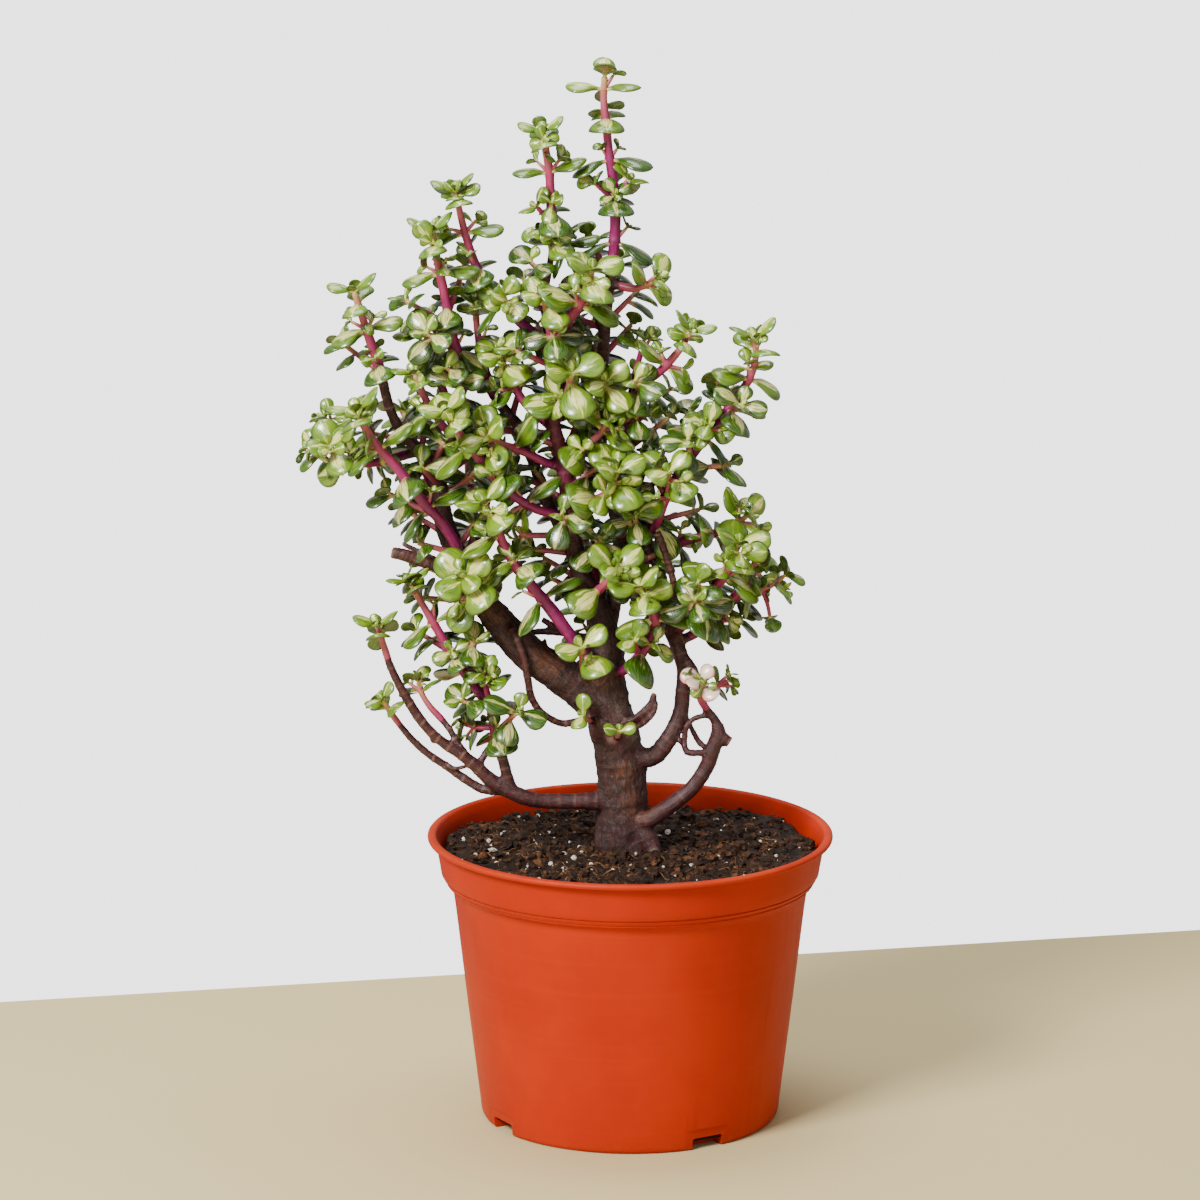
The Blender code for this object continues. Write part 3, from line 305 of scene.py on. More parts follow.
# Leafy stems. "bark" is the length that belongs to the wood, "turn" is the angle of the tip's pair
# of leaves, "full" the length of a grown leaf and "bare" the leafless length at the foot.
shoots = {
    "tallest": dict(
        route=[(-9, 184, 3, 3.4), (-6, 200, 9, 3.2), (-4, 212, 11, 3.0), (-4, 222, 12, 2.9),
               (-6, 233, 13, 2.8), (-9, 244, 13, 2.7), (-11, 256, 13, 2.6), (-11.3, 268, 13, 2.5),
               (-10.8, 280, 12, 2.5), (-10.2, 292, 11, 2.4), (-9.5, 303, 9, 2.4), (-8.5, 313, 8, 2.2),
               (-7.3, 322, 7, 2.1), (-6.3, 330, 6, 2.1), (-5.8, 338, 6, 2.1), (-5.8, 346, 6, 2.1),
               (-6.5, 355, 6, 1.9), (-8, 366, 6, 1.7), (-9, 376, 6, 1.6), (-10, 386, 6, 1.4),
               (-9.6, 395, 6, 1.1)],
        bark=145, turn=90, full=14, bare=3,
        arms=[[(-6, 349, 6, 1.2), (-9.5, 352, 5, 1.0), (-13, 355, 4, 0.8)],
              [(-6, 349, 6, 1.2), (-3.2, 353, 5, 1.0), (-1.2, 356.5, 4, 0.8)]]),
    "upper_left_tall": dict(
        route=[(-9.6, 299, 9, 2.2), (-13, 309, 11, 2.0), (-17, 318, 11, 2.0), (-21.5, 326.5, 10, 2.0),
               (-26, 334.5, 8, 2.0), (-28.8, 342, 6, 1.9), (-29.5, 351, 5, 1.8), (-30, 360, 4, 1.6),
               (-31.3, 368, 3, 1.4), (-32.2, 374, 2, 1.1)],
        bark=9, turn=0, full=13, bare=14,
        arms=[[(-28.6, 340, 6, 1.2), (-32, 343.5, 4, 1.0), (-34.5, 346.5, 2, 0.8)]]),
    "centre_right_rosette": dict(
        route=[(-29.5, 293, -2, 2.4), (-26, 299.5, -3, 2.3), (-22.5, 305, -5, 2.0), (-19, 310, -7, 1.7),
               (-16.5, 316, -10, 1.5), (-14.3, 322.5, -14, 1.1)],
        bark=6.5, turn=20, full=16.5, bare=6),
    "left_long": dict(
        route=[(-29.5, 292, -2, 2.4), (-34, 297.5, -1, 2.2), (-39, 302, 1, 2.0), (-44, 307, 3, 2.0),
               (-49.5, 313, 4, 1.9), (-54.5, 319.5, 4, 1.8), (-58, 327, 3, 1.7), (-60.5, 335, 2, 1.5),
               (-62.5, 343, 1, 1.3), (-64.5, 352.5, 0, 1.0)],
        bark=5, turn=0, full=13.5, bare=16,
        arms=[[(-43, 306, 3, 1.5), (-45.8, 310, -3, 1.3), (-47.2, 313, -10, 1.0)]]),
    "centre_rosette": dict(
        route=[(-29.5, 293, -3, 1.7), (-30, 301, -6, 1.5), (-31, 307, -9, 1.3), (-31.6, 312.5, -13, 1.0)],
        bark=6.5, turn=30, full=14, bare=4),
    "centre_back_twig": dict(
        route=[(-29, 290, 0, 1.8), (-31, 300, 7, 1.5), (-31.8, 308, 9, 1.5), (-31.2, 317, 9, 1.4),
               (-29.8, 325, 9, 1.4), (-29.2, 331, 8, 1.3), (-30.5, 337, 4, 1.0)],
        bark=43, turn=45, full=12, bare=2),
    "right_upper": dict(
        route=[(-8, 317.5, 7, 1.9), (-3, 316.7, 5, 1.6), (1, 316, 3, 1.4), (5, 317, 1, 1.2), (9, 319.5, -1, 0.9)],
        bark=5, turn=90, full=13.5, bare=2),
    "centre_upper": dict(
        route=[(-11, 271, 12, 1.7), (-10.5, 275, 4, 1.5), (-9.8, 278, -3, 1.3), (-9, 281, -9, 1.0)],
        bark=5, turn=40, full=14, bare=3),
    "front_upper_rosette": dict(
        route=[(-28, 267, -1, 1.5), (-25, 273, -7, 1.4), (-23, 279, -12, 1.2), (-21.8, 284, -18, 1.0)],
        bark=6, turn=20, full=16.5, bare=3),
    "centre_right_arm": dict(
        route=[(-25, 250, 0, 2.0), (-20, 253.5, -4, 1.7), (-15.5, 257.5, -7, 1.5), (-11, 262, -9, 1.3),
               (-8.5, 266, -11, 0.9)],
        bark=5, turn=60, full=14, bare=3),
    "centre_left_arm": dict(
        route=[(-25, 249, 0, 2.0), (-31, 250.5, -3, 1.7), (-37, 253.5, -5, 1.6), (-43, 256, -7, 1.5),
               (-49, 258, -12, 1.3), (-53.5, 260, -18, 1.0)],
        bark=5, turn=20, full=15, bare=4),
    "left_mid_rosette": dict(
        route=[(-28.5, 263, -1, 1.8), (-34, 268, 2, 1.6), (-39, 273, 4, 1.6), (-43.5, 280, 4, 1.5),
               (-46.5, 286, 0, 1.2), (-48, 290.5, -5, 0.9)],
        bark=5, turn=35, full=14, bare=8),
    "left_outer": dict(
        route=[(-8, 154, 0, 7.4), (-18, 163.5, -1, 7.4), (-26, 169.5, -2, 7.0), (-35, 175.5, -3, 6.9),
               (-42, 182, -3, 6.5), (-48, 189, -2, 5.9), (-54, 196.5, 0, 5.2), (-58.5, 203.5, 2, 4.7),
               (-62, 211, 3, 4.5), (-66, 219, 4, 4.1), (-69, 227, 5, 3.8), (-70.5, 236, 6, 3.5),
               (-71.5, 244, 7, 3.3), (-74, 250.5, 8, 2.8), (-79, 256, 9, 2.4), (-84, 261, 9, 2.1),
               (-88, 268, 9, 2.0), (-90.5, 276, 8, 2.0), (-92, 283, 7, 2.0), (-94, 290, 6, 1.9),
               (-97, 299, 4, 1.7), (-99.5, 307, 2, 1.4), (-102, 315, 0, 1.0)],
        bark=158, turn=0, full=13, bare=4),
    "left_upper": dict(
        route=[(-71, 243, 7, 2.8), (-67.5, 254, 8, 2.5), (-64.5, 266, 8, 2.3), (-63, 276, 7, 2.2),
               (-62.5, 283, 6, 2.2), (-64, 291, 4, 2.2), (-66, 299, 2, 2.0), (-67.5, 308, 0, 1.8),
               (-69.5, 318, -2, 1.7), (-71.5, 328, -4, 1.5), (-73, 337, -6, 1.1)],
        bark=35, turn=0, full=14, bare=8),
    "left_middle": dict(
        route=[(-64.4, 267, 8, 1.7), (-68.5, 276, 10, 1.5), (-71.8, 285, 9, 1.5), (-74.5, 295, 8, 1.2),
               (-77, 303, 7, 0.9)],
        bark=5, turn=80, full=12, bare=5),
    "left_inner": dict(
        route=[(-66, 260, 8, 1.7), (-70.5, 266, 3, 1.5), (-74, 271, 0, 1.5), (-77, 277, -1, 1.4),
               (-80, 284, -2, 1.0)],
        bark=5, turn=10, full=12.5, bare=3),
    "left_back": dict(
        route=[(-20, 212, 2, 2.6), (-24.5, 222, 8, 2.4), (-28.5, 231, 11, 2.3), (-32, 240, 13, 2.3),
               (-35.5, 249, 14, 2.3), (-38.5, 258, 14, 2.2), (-42, 265, 14, 2.2), (-47, 271, 14, 2.2),
               (-51, 277, 14, 2.1), (-53.5, 284, 13, 1.9), (-55.5, 293, 12, 1.6), (-56.8, 302, 11, 1.3),
               (-57.3, 310, 10, 0.9)],
        bark=73, turn=10, full=12, bare=3),
    "left_cluster": dict(
        route=[(-78, 255, 9, 2.0), (-87, 252.5, 12, 1.7), (-95, 250.5, 11, 1.6), (-103, 250.5, 7, 1.5),
               (-109, 253.5, 0, 1.3), (-111.5, 257, -8, 1.0)],
        bark=6, turn=20, full=13.5, bare=5,
        arms=[[(-99, 250.3, 9.5, 1.3), (-107, 258, 11, 1.1), (-113, 267.5, 9, 0.8)],
              [(-103, 250.5, 7, 1.2), (-111, 251, 8, 1.0), (-118, 257, 7, 0.8)]]),
    "left_magenta": dict(
        route=[(-61, 208.5, 1, 2.3), (-65.5, 220.5, -5, 2.1), (-71, 229, -8, 2.0), (-76, 234.5, -9, 2.0),
               (-81, 241, -10, 1.9), (-87, 249, -11, 1.8), (-93, 256, -12, 1.6), (-98, 263, -13, 1.4),
               (-101, 270, -14, 1.0)],
        bark=12, turn=0, full=15.5, bare=12),
    "front_left_rosette": dict(
        route=[(-22.5, 229, 0, 1.8), (-28, 231, -6, 1.7), (-35, 233, -10, 1.7), (-42, 237, -12, 1.7),
               (-48, 242, -13, 1.7), (-54, 249, -14, 1.7), (-59, 256, -15, 1.6), (-64, 262.5, -17, 1.4),
               (-68, 269.5, -21, 1.0)],
        bark=5, turn=20, full=15, bare=16),
    "centre_left_twig": dict(
        route=[(-21.5, 222, -1, 1.6), (-28, 223, -4, 1.3), (-34, 223, -6, 1.2), (-39.5, 223.3, -8, 1.1),
               (-43, 226.5, -9, 0.8)],
        bark=5, turn=60, full=12.5, bare=5),
    "front_diagonal": dict(
        route=[(-11, 172, -2, 2.8), (-19, 180, -10, 2.5), (-24, 187, -12, 2.4), (-29, 194, -13, 2.4),
               (-35, 201.5, -14, 2.2), (-41, 209, -15, 2.0), (-46, 217, -16, 1.8), (-50, 226, -18, 1.6),
               (-54, 235, -23, 1.1)],
        bark=12, turn=30, full=15.5, bare=12),
    "limb_rosette": dict(
        route=[(-53, 194, -2, 2.3), (-57, 199, -9, 1.9), (-60, 203, -15, 1.6), (-61.5, 206, -22, 1.1)],
        bark=7, turn=40, full=15.5, bare=2),
    "fork_rosette": dict(
        route=[(-16, 167, -4, 2.1), (-17.5, 173.5, -11, 1.7), (-18, 180, -18, 1.1)],
        bark=7, turn=35, full=15, bare=2),
    "front_right_low": dict(
        route=[(-7, 169, -3, 2.3), (-1, 172.5, -9, 1.9), (4, 178, -11, 1.9), (8.5, 185, -12, 1.9),
               (9, 191, -14, 1.7), (6.5, 197, -17, 1.5), (3.5, 203, -22, 1.1)],
        bark=7, turn=10, full=16, bare=2,
        arms=[[(3.5, 177.5, -11, 1.3), (2, 180.5, -16, 1.0), (1.5, 183, -20, 0.8)]]),
    "front_centre": dict(
        route=[(-15.5, 199, -1, 2.0), (-11.5, 202.5, -9, 1.6), (-7.5, 206.5, -15, 1.3), (-4.5, 210.5, -21, 1.0)],
        bark=6, turn=45, full=15, bare=2),
    "centre_front_rosette": dict(
        route=[(-23, 235, 0, 2.0), (-17, 235.5, -7, 1.7), (-11.5, 237, -11, 1.6), (-7.5, 241.5, -15, 1.3),
               (-5, 247, -20, 1.0)],
        bark=5, turn=30, full=16.5, bare=2),
    "right_sweep": dict(
        route=[(-1, 142.5, -1, 4.4), (4, 138, -3, 4.0), (9, 138.5, -4, 3.6), (13, 143, -4, 3.4),
               (16.5, 149, -4, 3.2), (19, 156, -3, 3.0), (19.6, 164, -2, 2.8), (20, 171, -1, 2.7),
               (18.8, 178, 0, 2.6), (16, 184.5, 1, 2.6), (13, 190, 3, 2.5), (12.5, 200, 6, 2.4),
               (10.5, 210, 8, 2.3), (6, 219, 9, 2.2), (2, 227, 9, 2.1), (0.8, 236, 9, 2.0),
               (0, 246, 8, 1.9), (-0.8, 256, 8, 1.8), (-1.6, 264, 7, 1.8), (-0.5, 271, 5, 1.8),
               (2, 277, 3, 1.8), (6, 281.5, 1, 1.8), (10.8, 285, -1, 1.7), (15.5, 290, -3, 1.5),
               (19.3, 295, -5, 1.2), (21.8, 300, -6, 0.9)],
        bark=142, turn=0, full=14, bare=4,
        arms=[[(-1.2, 267, 6, 1.4), (-0.3, 274, 9, 1.3), (1.2, 283, 9, 1.2), (3.2, 290, 7, 1.1),
               (5, 297, 5, 0.8)],
              [(-1.4, 266, 6.5, 1.2), (2, 266.5, 4, 1.1), (6, 268.5, 2, 0.9)]]),
    "right_reach": dict(
        route=[(6.5, 218, 9, 2.2), (6, 226, 8, 2.1), (9, 232, 7, 2.1), (13, 238, 6, 2.1), (17, 244.5, 5, 2.2),
               (20, 250, 4, 2.3), (24.5, 256, 3, 2.0), (29.5, 262, 2, 1.9), (34.5, 268, 1, 2.0),
               (38, 273.5, 0, 1.8), (42, 279, -1, 1.7), (45, 285, -2, 1.4), (46.2, 291, -3, 1.2),
               (45.8, 297, -4, 0.9)],
        bark=30, turn=20, full=14, bare=5,
        arms=[[(36, 270, 0.6, 1.4), (35, 275.5, 1, 1.2), (32, 281, 2, 0.9)],
              [(28, 260, 2, 1.2), (29.2, 262.5, -5, 1.0), (29, 265, -11, 0.8)]]),
    "right_inner_rosette": dict(
        route=[(6.2, 223, 8, 1.7), (9, 226, -1, 1.5), (11.3, 231, -6, 1.4), (13.5, 237.5, -9, 1.2),
               (14.3, 242, -13, 1.1), (14.2, 247, -18, 0.8)],
        bark=6, turn=40, full=14, bare=3),
    "right_front": dict(
        route=[(15.5, 184.5, 1, 2.5), (20, 189.5, -3, 2.2), (25.5, 195, -6, 2.1), (30, 201, -8, 2.0),
               (34.5, 207, -10, 1.8), (37.5, 213, -12, 1.5), (40.2, 219.5, -16, 1.0)],
        bark=6, turn=10, full=15.5, bare=5,
        arms=[[(36, 209.5, -10.5, 1.2), (42, 210.5, -9, 1.1), (47.5, 212.5, -8, 0.8)]]),
    "right_middle": dict(
        route=[(11, 208, 8, 2.0), (14, 216, 7, 1.9), (19, 220.5, 5, 1.9), (26, 222.5, 3, 1.7),
               (32, 224, 1, 1.5), (38, 227, -1, 1.3), (43.5, 230.5, -3, 0.9)],
        bark=6, turn=70, full=15, bare=3),
    "right_low": dict(
        route=[(17, 182.5, 0, 2.2), (23, 185, 3, 1.9), (29, 189.5, 4, 1.9), (34, 194.5, 4, 1.8),
               (38.5, 199.5, 3, 1.7), (42, 202.5, 2, 1.5), (47, 202.3, 1, 1.3), (53, 204.5, 0, 1.1),
               (57.5, 207.8, 0, 0.8)],
        bark=6, turn=30, full=12, bare=4,
        arms=[[(40.5, 201.5, 2.5, 1.4), (43.5, 205, 0, 1.1), (46.5, 208, -2, 0.8)],
              [(49, 202.8, 0.8, 1.0), (51, 197, 2, 0.8), (52, 192, 3, 0.7)]]),
    "pink_tipped": dict(
        route=[(-1, 113, -3, 3.8), (6, 113.5, -7, 3.4), (12, 117, -8, 3.2), (18, 121.5, -8, 3.0),
               (24, 127, -8, 2.9), (28.5, 134, -8, 2.9), (31, 141, -8, 3.0), (33, 147, -8, 3.0),
               (32, 151.5, -8, 1.9), (29, 156, -8.5, 1.5), (26.5, 160, -11, 1.5), (25.8, 164, -14.5, 1.3),
               (26, 167.5, -19, 0.9)],
        bark=65, turn=45, full=9.5, bare=1,
        arms=[[(26.1, 163, -13.8, 1.1), (31, 165, -10, 1.0), (36.5, 167.5, -8, 0.8)]]),
    "low_left_outer": dict(
        route=[(-8, 121, -3, 4.0), (-17, 121, -5, 3.2), (-25, 120.8, -6, 2.9), (-33, 121, -7, 2.9),
               (-40, 122.5, -8, 3.0), (-46, 125.3, -8, 3.0), (-51, 128, -8, 2.9), (-55, 131.5, -8, 2.6),
               (-59, 135.5, -8, 2.4), (-64, 139.5, -8, 2.2), (-69.5, 143, -8, 2.0), (-74.5, 147.5, -8, 1.9),
               (-79, 153, -8, 1.9), (-83, 159.5, -8, 1.9), (-86.5, 166, -8, 1.7), (-89.5, 172.5, -8, 1.5),
               (-91.5, 179, -8, 1.4), (-93, 184, -8, 1.1), (-94.2, 188.5, -9, 0.8)],
        bark=109, turn=0, full=12.5, bare=1),
    "low_left_front": dict(
        route=[(-47, 125, -7, 2.0), (-55, 125.5, -4, 1.8), (-62, 129.5, -3, 1.7), (-69, 134.5, -2, 1.6),
               (-75.5, 139, -2, 1.5), (-81.5, 144.5, -2, 1.4), (-86, 150, -2, 1.3), (-89.5, 155, -4, 1.1),
               (-92.5, 160, -7, 0.8)],
        bark=50, turn=40, full=10.5, bare=1),
    "low_left_long": dict(
        route=[(-44, 124, -8, 2.4), (-46, 130, -8, 2.2), (-47.5, 136, -8, 2.1), (-49.3, 142, -8, 1.9),
               (-50.8, 149, -8, 1.9), (-52, 156, -7, 1.8), (-57, 163.5, -5, 1.8), (-61.5, 169.5, -4, 1.8),
               (-65.5, 176, -4, 1.8), (-70, 183.5, -4, 1.7), (-74, 190.5, -4, 1.6), (-78, 197.5, -4, 1.3),
               (-82, 205, -4, 0.9)],
        bark=19, turn=10, full=13, bare=2,
        arms=[[(-52.1, 156.5, -7, 1.4), (-53.5, 163, -12, 1.2), (-55, 170.5, -17, 0.9)],
              [(-50.9, 149.5, -8, 1.2), (-57, 149.3, -6, 0.9), (-62.5, 150.8, -4, 0.8)]]),
    "low_left_middle": dict(
        route=[(-60, 136.5, -8, 1.7), (-64.5, 143, -7, 1.4), (-67.5, 148.5, -6, 1.3), (-71, 153, -5, 1.3),
               (-75, 157.5, -5, 1.2), (-78, 162.5, -5, 1.0), (-79.5, 167.5, -5, 0.7)],
        bark=19, turn=60, full=10, bare=1),
    "trunk_left_sprig": dict(
        route=[(-12, 151, -5, 1.4), (-16, 152.5, -11, 1.1), (-17.8, 154.5, -15, 0.8)],
        bark=7, turn=80, full=9.5, bare=1, pairs=2),
    "trunk_front_sprig": dict(
        route=[(-5, 145, -5, 1.4), (-4.7, 146, -11, 1.1), (-4.2, 148, -15, 0.8)],
        bark=7, turn=5, full=9.5, bare=1, pairs=2),
    "back_centre": dict(
        route=[(-9, 177, 3, 2.8), (-8, 190, 16, 2.3), (-12, 205, 26, 2.1), (-17, 220, 32, 1.8),
               (-20, 236, 36, 1.5), (-22, 250, 38, 1.0)],
        bark=32, turn=20, full=15.5, bare=4, pairs=4),
    "back_limb": dict(
        route=[(-48, 188, 0, 2.8), (-52, 200, 13, 2.2), (-56, 214, 23, 2.0), (-58, 230, 30, 1.7),
               (-60, 245, 34, 1.4), (-61, 257, 36, 1.0)],
        bark=24, turn=50, full=15.5, bare=4, pairs=4),
    "back_right": dict(
        route=[(19, 158, -2, 2.5), (20, 169, 11, 2.1), (16, 182, 21, 1.9), (9, 198, 28, 1.7),
               (5, 213, 32, 1.4), (3, 226, 34, 1.0)],
        bark=18, turn=10, full=15.5, bare=4, pairs=4),
    "back_upper": dict(
        route=[(-11, 255, 13, 2.1), (-14, 268, 23, 1.8), (-17, 282, 28, 1.6), (-19, 296, 31, 1.3),
               (-20, 306, 32, 1.0)],
        bark=8, turn=70, full=14, bare=3, pairs=4),
    "back_left": dict(
        route=[(-70.5, 234, 6, 2.4), (-75, 245, 18, 1.8), (-80, 258, 26, 1.5), (-84, 270, 30, 1.0)],
        bark=9, turn=30, full=14, bare=3, pairs=4),
    "back_low": dict(
        route=[(-6, 148, 3, 2.6), (-8, 160, 18, 2.0), (-12, 174, 28, 1.7), (-15, 188, 34, 1.3),
               (-16, 198, 37, 1.0)],
        bark=22, turn=30, full=15.5, bare=2, pairs=4),
}

# The same rules as the plain model's, so that fine leaves lie on the plain ones
trunkLook = dict(sides=10, step=11.0, rootSides=6, rootStep=8.0, limbSides=6, branchSides=5, branchStep=12.0,
                 twigSides=4, twigStep=13.0, stemSides=5, stemStep=11.0, armSides=4, gap=0.3)
leafRule = dict(
    outline=((0.44, 0.35), (0.82, 0.34)), crown=0.5, above=0.105, below=0.055, recurve=0.16, foot=0.35,
    armLeaf=0.8, armLength=12.0, cupping=0.1, sizes=(0.72, 0.92, 1.0, 1.0, 0.97, 1.0),
    pitches=(40.0, 22.0, 8.0, -3.0, -9.0, -15.0), steps=(4.5, 11.5, 14.0, 15.5, 16.5),
    tries=((0, 0, 1.0), (13, 0, 1.0), (-13, 0, 1.0), (0, 16, 1.0), (0, -16, 1.0), (22, 12, 0.94),
           (-22, -12, 0.94), (24, -22, 0.86), (-26, 22, 0.86), (0, 0, 0.76), (18, 10, 0.7), (-18, -10, 0.7)))


def seen(across, up, depth):
    reach = (depth - eye.y) / -eye.y
    return Vector((eye.x + (across - eye.x) * reach, depth, eye.z + (up - eye.z) * reach))


# A smooth line through a stem's points
class Route:
    def __init__(self, points):
        knots = [seen(*point[:3]) for point in points]
        radii = [point[3] for point in points]
        ends = [2 * knots[0] - knots[1]] + knots + [2 * knots[-1] - knots[-2]]
        self.places = [knots[0]]
        self.radii = [radii[0]]
        for i in range(len(knots) - 1):
            a, b, c, d = ends[i:i + 4]
            steps = max(2, round((c - b).length))
            for k in range(1, steps + 1):
                t = k / steps
                curve = (2 * b + (c - a) * t + (2 * a - 5 * b + 4 * c - d) * t * t
                         + (3 * b - a - 3 * c + d) * t * t * t) / 2
                self.places.append(curve)
                self.radii.append(radii[i] + (radii[i + 1] - radii[i]) * t)
        self.marks = [0.0]
        for a, b in zip(self.places, self.places[1:]):
            self.marks.append(self.marks[-1] + (b - a).length)
        self.length = self.marks[-1]

    def at(self, mark):
        mark = min(max(mark, 0.0), self.length)
        i = 0
        while i < len(self.marks) - 2 and self.marks[i + 1] < mark:
            i += 1
        t = (mark - self.marks[i]) / (self.marks[i + 1] - self.marks[i])
        place = self.places[i].lerp(self.places[i + 1], t)
        first, last = max(i - 1, 0), min(i + 2, len(self.places) - 1)
        heading = (self.places[last] - self.places[first]).normalized()
        return place, heading, self.radii[i] + (self.radii[i + 1] - self.radii[i]) * t


# A round skin along a route; swell(mark, angle, radius) changes the radius there
def tube(route, start, end, sides, step, swell=None):
    count = max(1, round((end - start) / step))
    verts, frames = [], []
    side = None
    for k in range(count + 1):
        mark = start + (end - start) * k / count
        place, heading, radius = route.at(mark)
        if side is None:
            side = heading.orthogonal()
        side = (side - heading * side.dot(heading)).normalized()
        other = heading.cross(side)
        frames.append((mark, place, heading, side, other, radius))
        for j in range(sides):
            angle = 2 * math.pi * j / sides
            reach = swell(mark, angle, radius) if swell else radius
            verts.append(place + reach * (math.cos(angle) * side + math.sin(angle) * other))
    faces = ringFaces(0, count, sides)
    faces.append(tuple(reversed(range(sides))))
    faces.append(tuple(count * sides + j for j in range(sides)))
    return verts, faces, frames


def meets(shape, *groups):
    return any(tree.overlap(shape) for group in groups for tree in group)


def leafAxes(heading, out, pitch, yaw):
    out = Matrix.Rotation(math.radians(yaw), 3, heading) @ out
    lift = math.radians(pitch)
    along = math.cos(lift) * out + math.sin(lift) * heading
    above = math.cos(lift) * heading - math.sin(lift) * out
    return along, above, above.cross(along)


def plainLeaf(place, heading, out, length, pitch, yaw, grow=0.0):
    along, above, across = leafAxes(heading, out, pitch, yaw)
    outline, crown = leafRule["outline"], leafRule["crown"]
    rim = [(0.0, 0.0), *outline, (1.0, 0.0)] + [(t, -w) for t, w in reversed(outline)]
    verts = []
    for t, w in rim:
        sink = leafRule["recurve"] * t * t + leafRule["cupping"] * (w / 0.4) ** 2
        spread = w * length + math.copysign(grow, w) * (w != 0.0)
        reach = t * length + grow * (t > 0.9)
        verts.append(place + along * reach + across * spread - above * sink * length)
    bend = leafRule["recurve"] * crown ** 2
    verts.append(place + along * crown * length + above * ((leafRule["above"] - bend) * length + grow))
    verts.append(place + along * crown * length - above * ((leafRule["below"] + bend) * length + grow))
    faces = []
    for k in range(len(rim)):
        following = (k + 1) % len(rim)
        faces.append((following, k, len(rim)))
        faces.append((k, following, len(rim) + 1))
    return verts, faces


def plainOf(info):
    return plainLeaf(info["foot"], info["heading"], info["out"], info["length"], info["pitch"], info["yaw"])


def leafFrames(route, start, settings, draw):
    mark = route.length - 0.6
    angle = settings["turn"]
    sizes, pitches, steps = leafRule["sizes"], leafRule["pitches"], leafRule["steps"]
    found = []
    for pair in range(settings.get("pairs", 99)):
        if mark < start + settings["bare"]:
            break
        step = min(pair, len(sizes) - 1)
        size = settings["full"] * sizes[step] * draw.uniform(0.93, 1.06)
        pitch = pitches[step] + draw.uniform(-7, 7)
        for half in (0, 180):
            found.append((mark, size * draw.uniform(0.95, 1.05), pitch + draw.uniform(-5, 5),
                          angle + half + draw.uniform(-6, 6), pair))
        angle += 90
        mark -= steps[min(pair, len(steps) - 1)] * draw.uniform(0.9, 1.1)
    return found


def outward(heading, angle):
    reference = Vector((1, 0, 0)) if abs(heading.x) < 0.85 else Vector((0, 0, 1))
    side = (reference - heading * reference.dot(heading)).normalized()
    return Matrix.Rotation(math.radians(angle), 3, heading) @ side


def treeOf(pieces):
    verts, faces = [], []
    for piece in pieces:
        base = len(verts)
        verts.extend(piece[0])
        faces.extend(tuple(base + i for i in face) for face in piece[1])
    return BVHTree.FromPolygons(verts, faces) if faces else None


def placeLeaves(stems, obstacles, draw):
    placed, plain, blades = [], [], []
    gap = trunkLook["gap"] + 0.1
    for order, (route, start, shape) in enumerate(stems):
        for mark, size, pitch, angle, pair in leafFrames(route, start, shape, draw):
            place, heading, radius = route.at(mark)
            out = outward(heading, angle)
            foot = place - out * radius * leafRule["foot"]
            for morePitch, yaw, scale in leafRule["tries"]:
                length = size * scale + radius
                probe = BVHTree.FromPolygons(*plainLeaf(foot, heading, out, length, pitch + morePitch, yaw, gap))
                if meets(probe, obstacles):
                    continue
                bladeFoot = place + out * (radius + 0.9)
                blade = plainLeaf(bladeFoot, heading, out, size * scale * 0.82, pitch + morePitch, yaw)
                own = BVHTree.FromPolygons(*blade)
                if meets(own, blades):
                    continue
                placed.append(dict(foot=foot, heading=heading, out=out, length=length, pitch=pitch + morePitch,
                                   yaw=yaw, radius=radius, pair=pair, stem=order, mark=mark,
                                   age=min(1.0, (route.length - mark) / 90 + (0.12 if order else 0))))
                plain.append(plainOf(placed[-1]))
                blades.append(own)
                break
    return placed, plain


# Every wood tube, and each shoot's stems and leaves, by the plain model's own order of draws
def growPlan():
    look = trunkLook
    trunk, root = Route(trunkRoute), Route(rootRoute)
    wood = [tube(trunk, 0.0, trunk.length, look["sides"], look["step"]),
            tube(root, 0.0, root.length, look["rootSides"], look["rootStep"])]
    woodRoutes = [(trunk, 0.0, trunk.length, "trunk"), (root, 0.0, root.length, "root")]
    for name, points in twigs.items():
        route = Route(points)
        wood.append(tube(route, 0.0, route.length, look["twigSides"], look["twigStep"]))
        woodRoutes.append((route, 0.0, route.length, "twig_" + name))
    stems = {}
    for name, settings in shoots.items():
        route = Route(settings["route"])
        sides = look["limbSides"] if settings["route"][0][3] > 3.2 else look["branchSides"]
        wood.append(tube(route, 0.0, settings["bark"], sides, look["branchStep"]))
        woodRoutes.append((route, 0.0, settings["bark"], name))
        stems[name] = [(route, settings["bark"] + look["gap"], settings)]
        for points in settings.get("arms", []):
            arm = Route(points)
            pairs = 1 if arm.length < leafRule["armLength"] else 2
            shape = dict(turn=settings["turn"] + 50, full=settings["full"] * leafRule["armLeaf"], bare=1.5,
                         pairs=pairs)
            stems[name].append((arm, 0.0, shape))
    tubes = {name: [tube(route, start, route.length, look["stemSides"] if start else look["armSides"],
                         look["stemStep"]) for route, start, shape in found] for name, found in stems.items()}
    fixed = treeOf(wood)
    trees = {name: treeOf(found) for name, found in tubes.items()}
    grown, leaves = {}, {}
    for order, name in enumerate(shoots):
        obstacles = [fixed] + [tree for other, tree in trees.items() if other != name]
        obstacles += list(grown.values())
        leaves[name], plain = placeLeaves(stems[name], obstacles, random.Random(40 + order))
        grown[name] = treeOf(plain)
    blocked = dict(wood=fixed, stems=trees, leaves=grown)
    return woodRoutes, stems, leaves, blocked


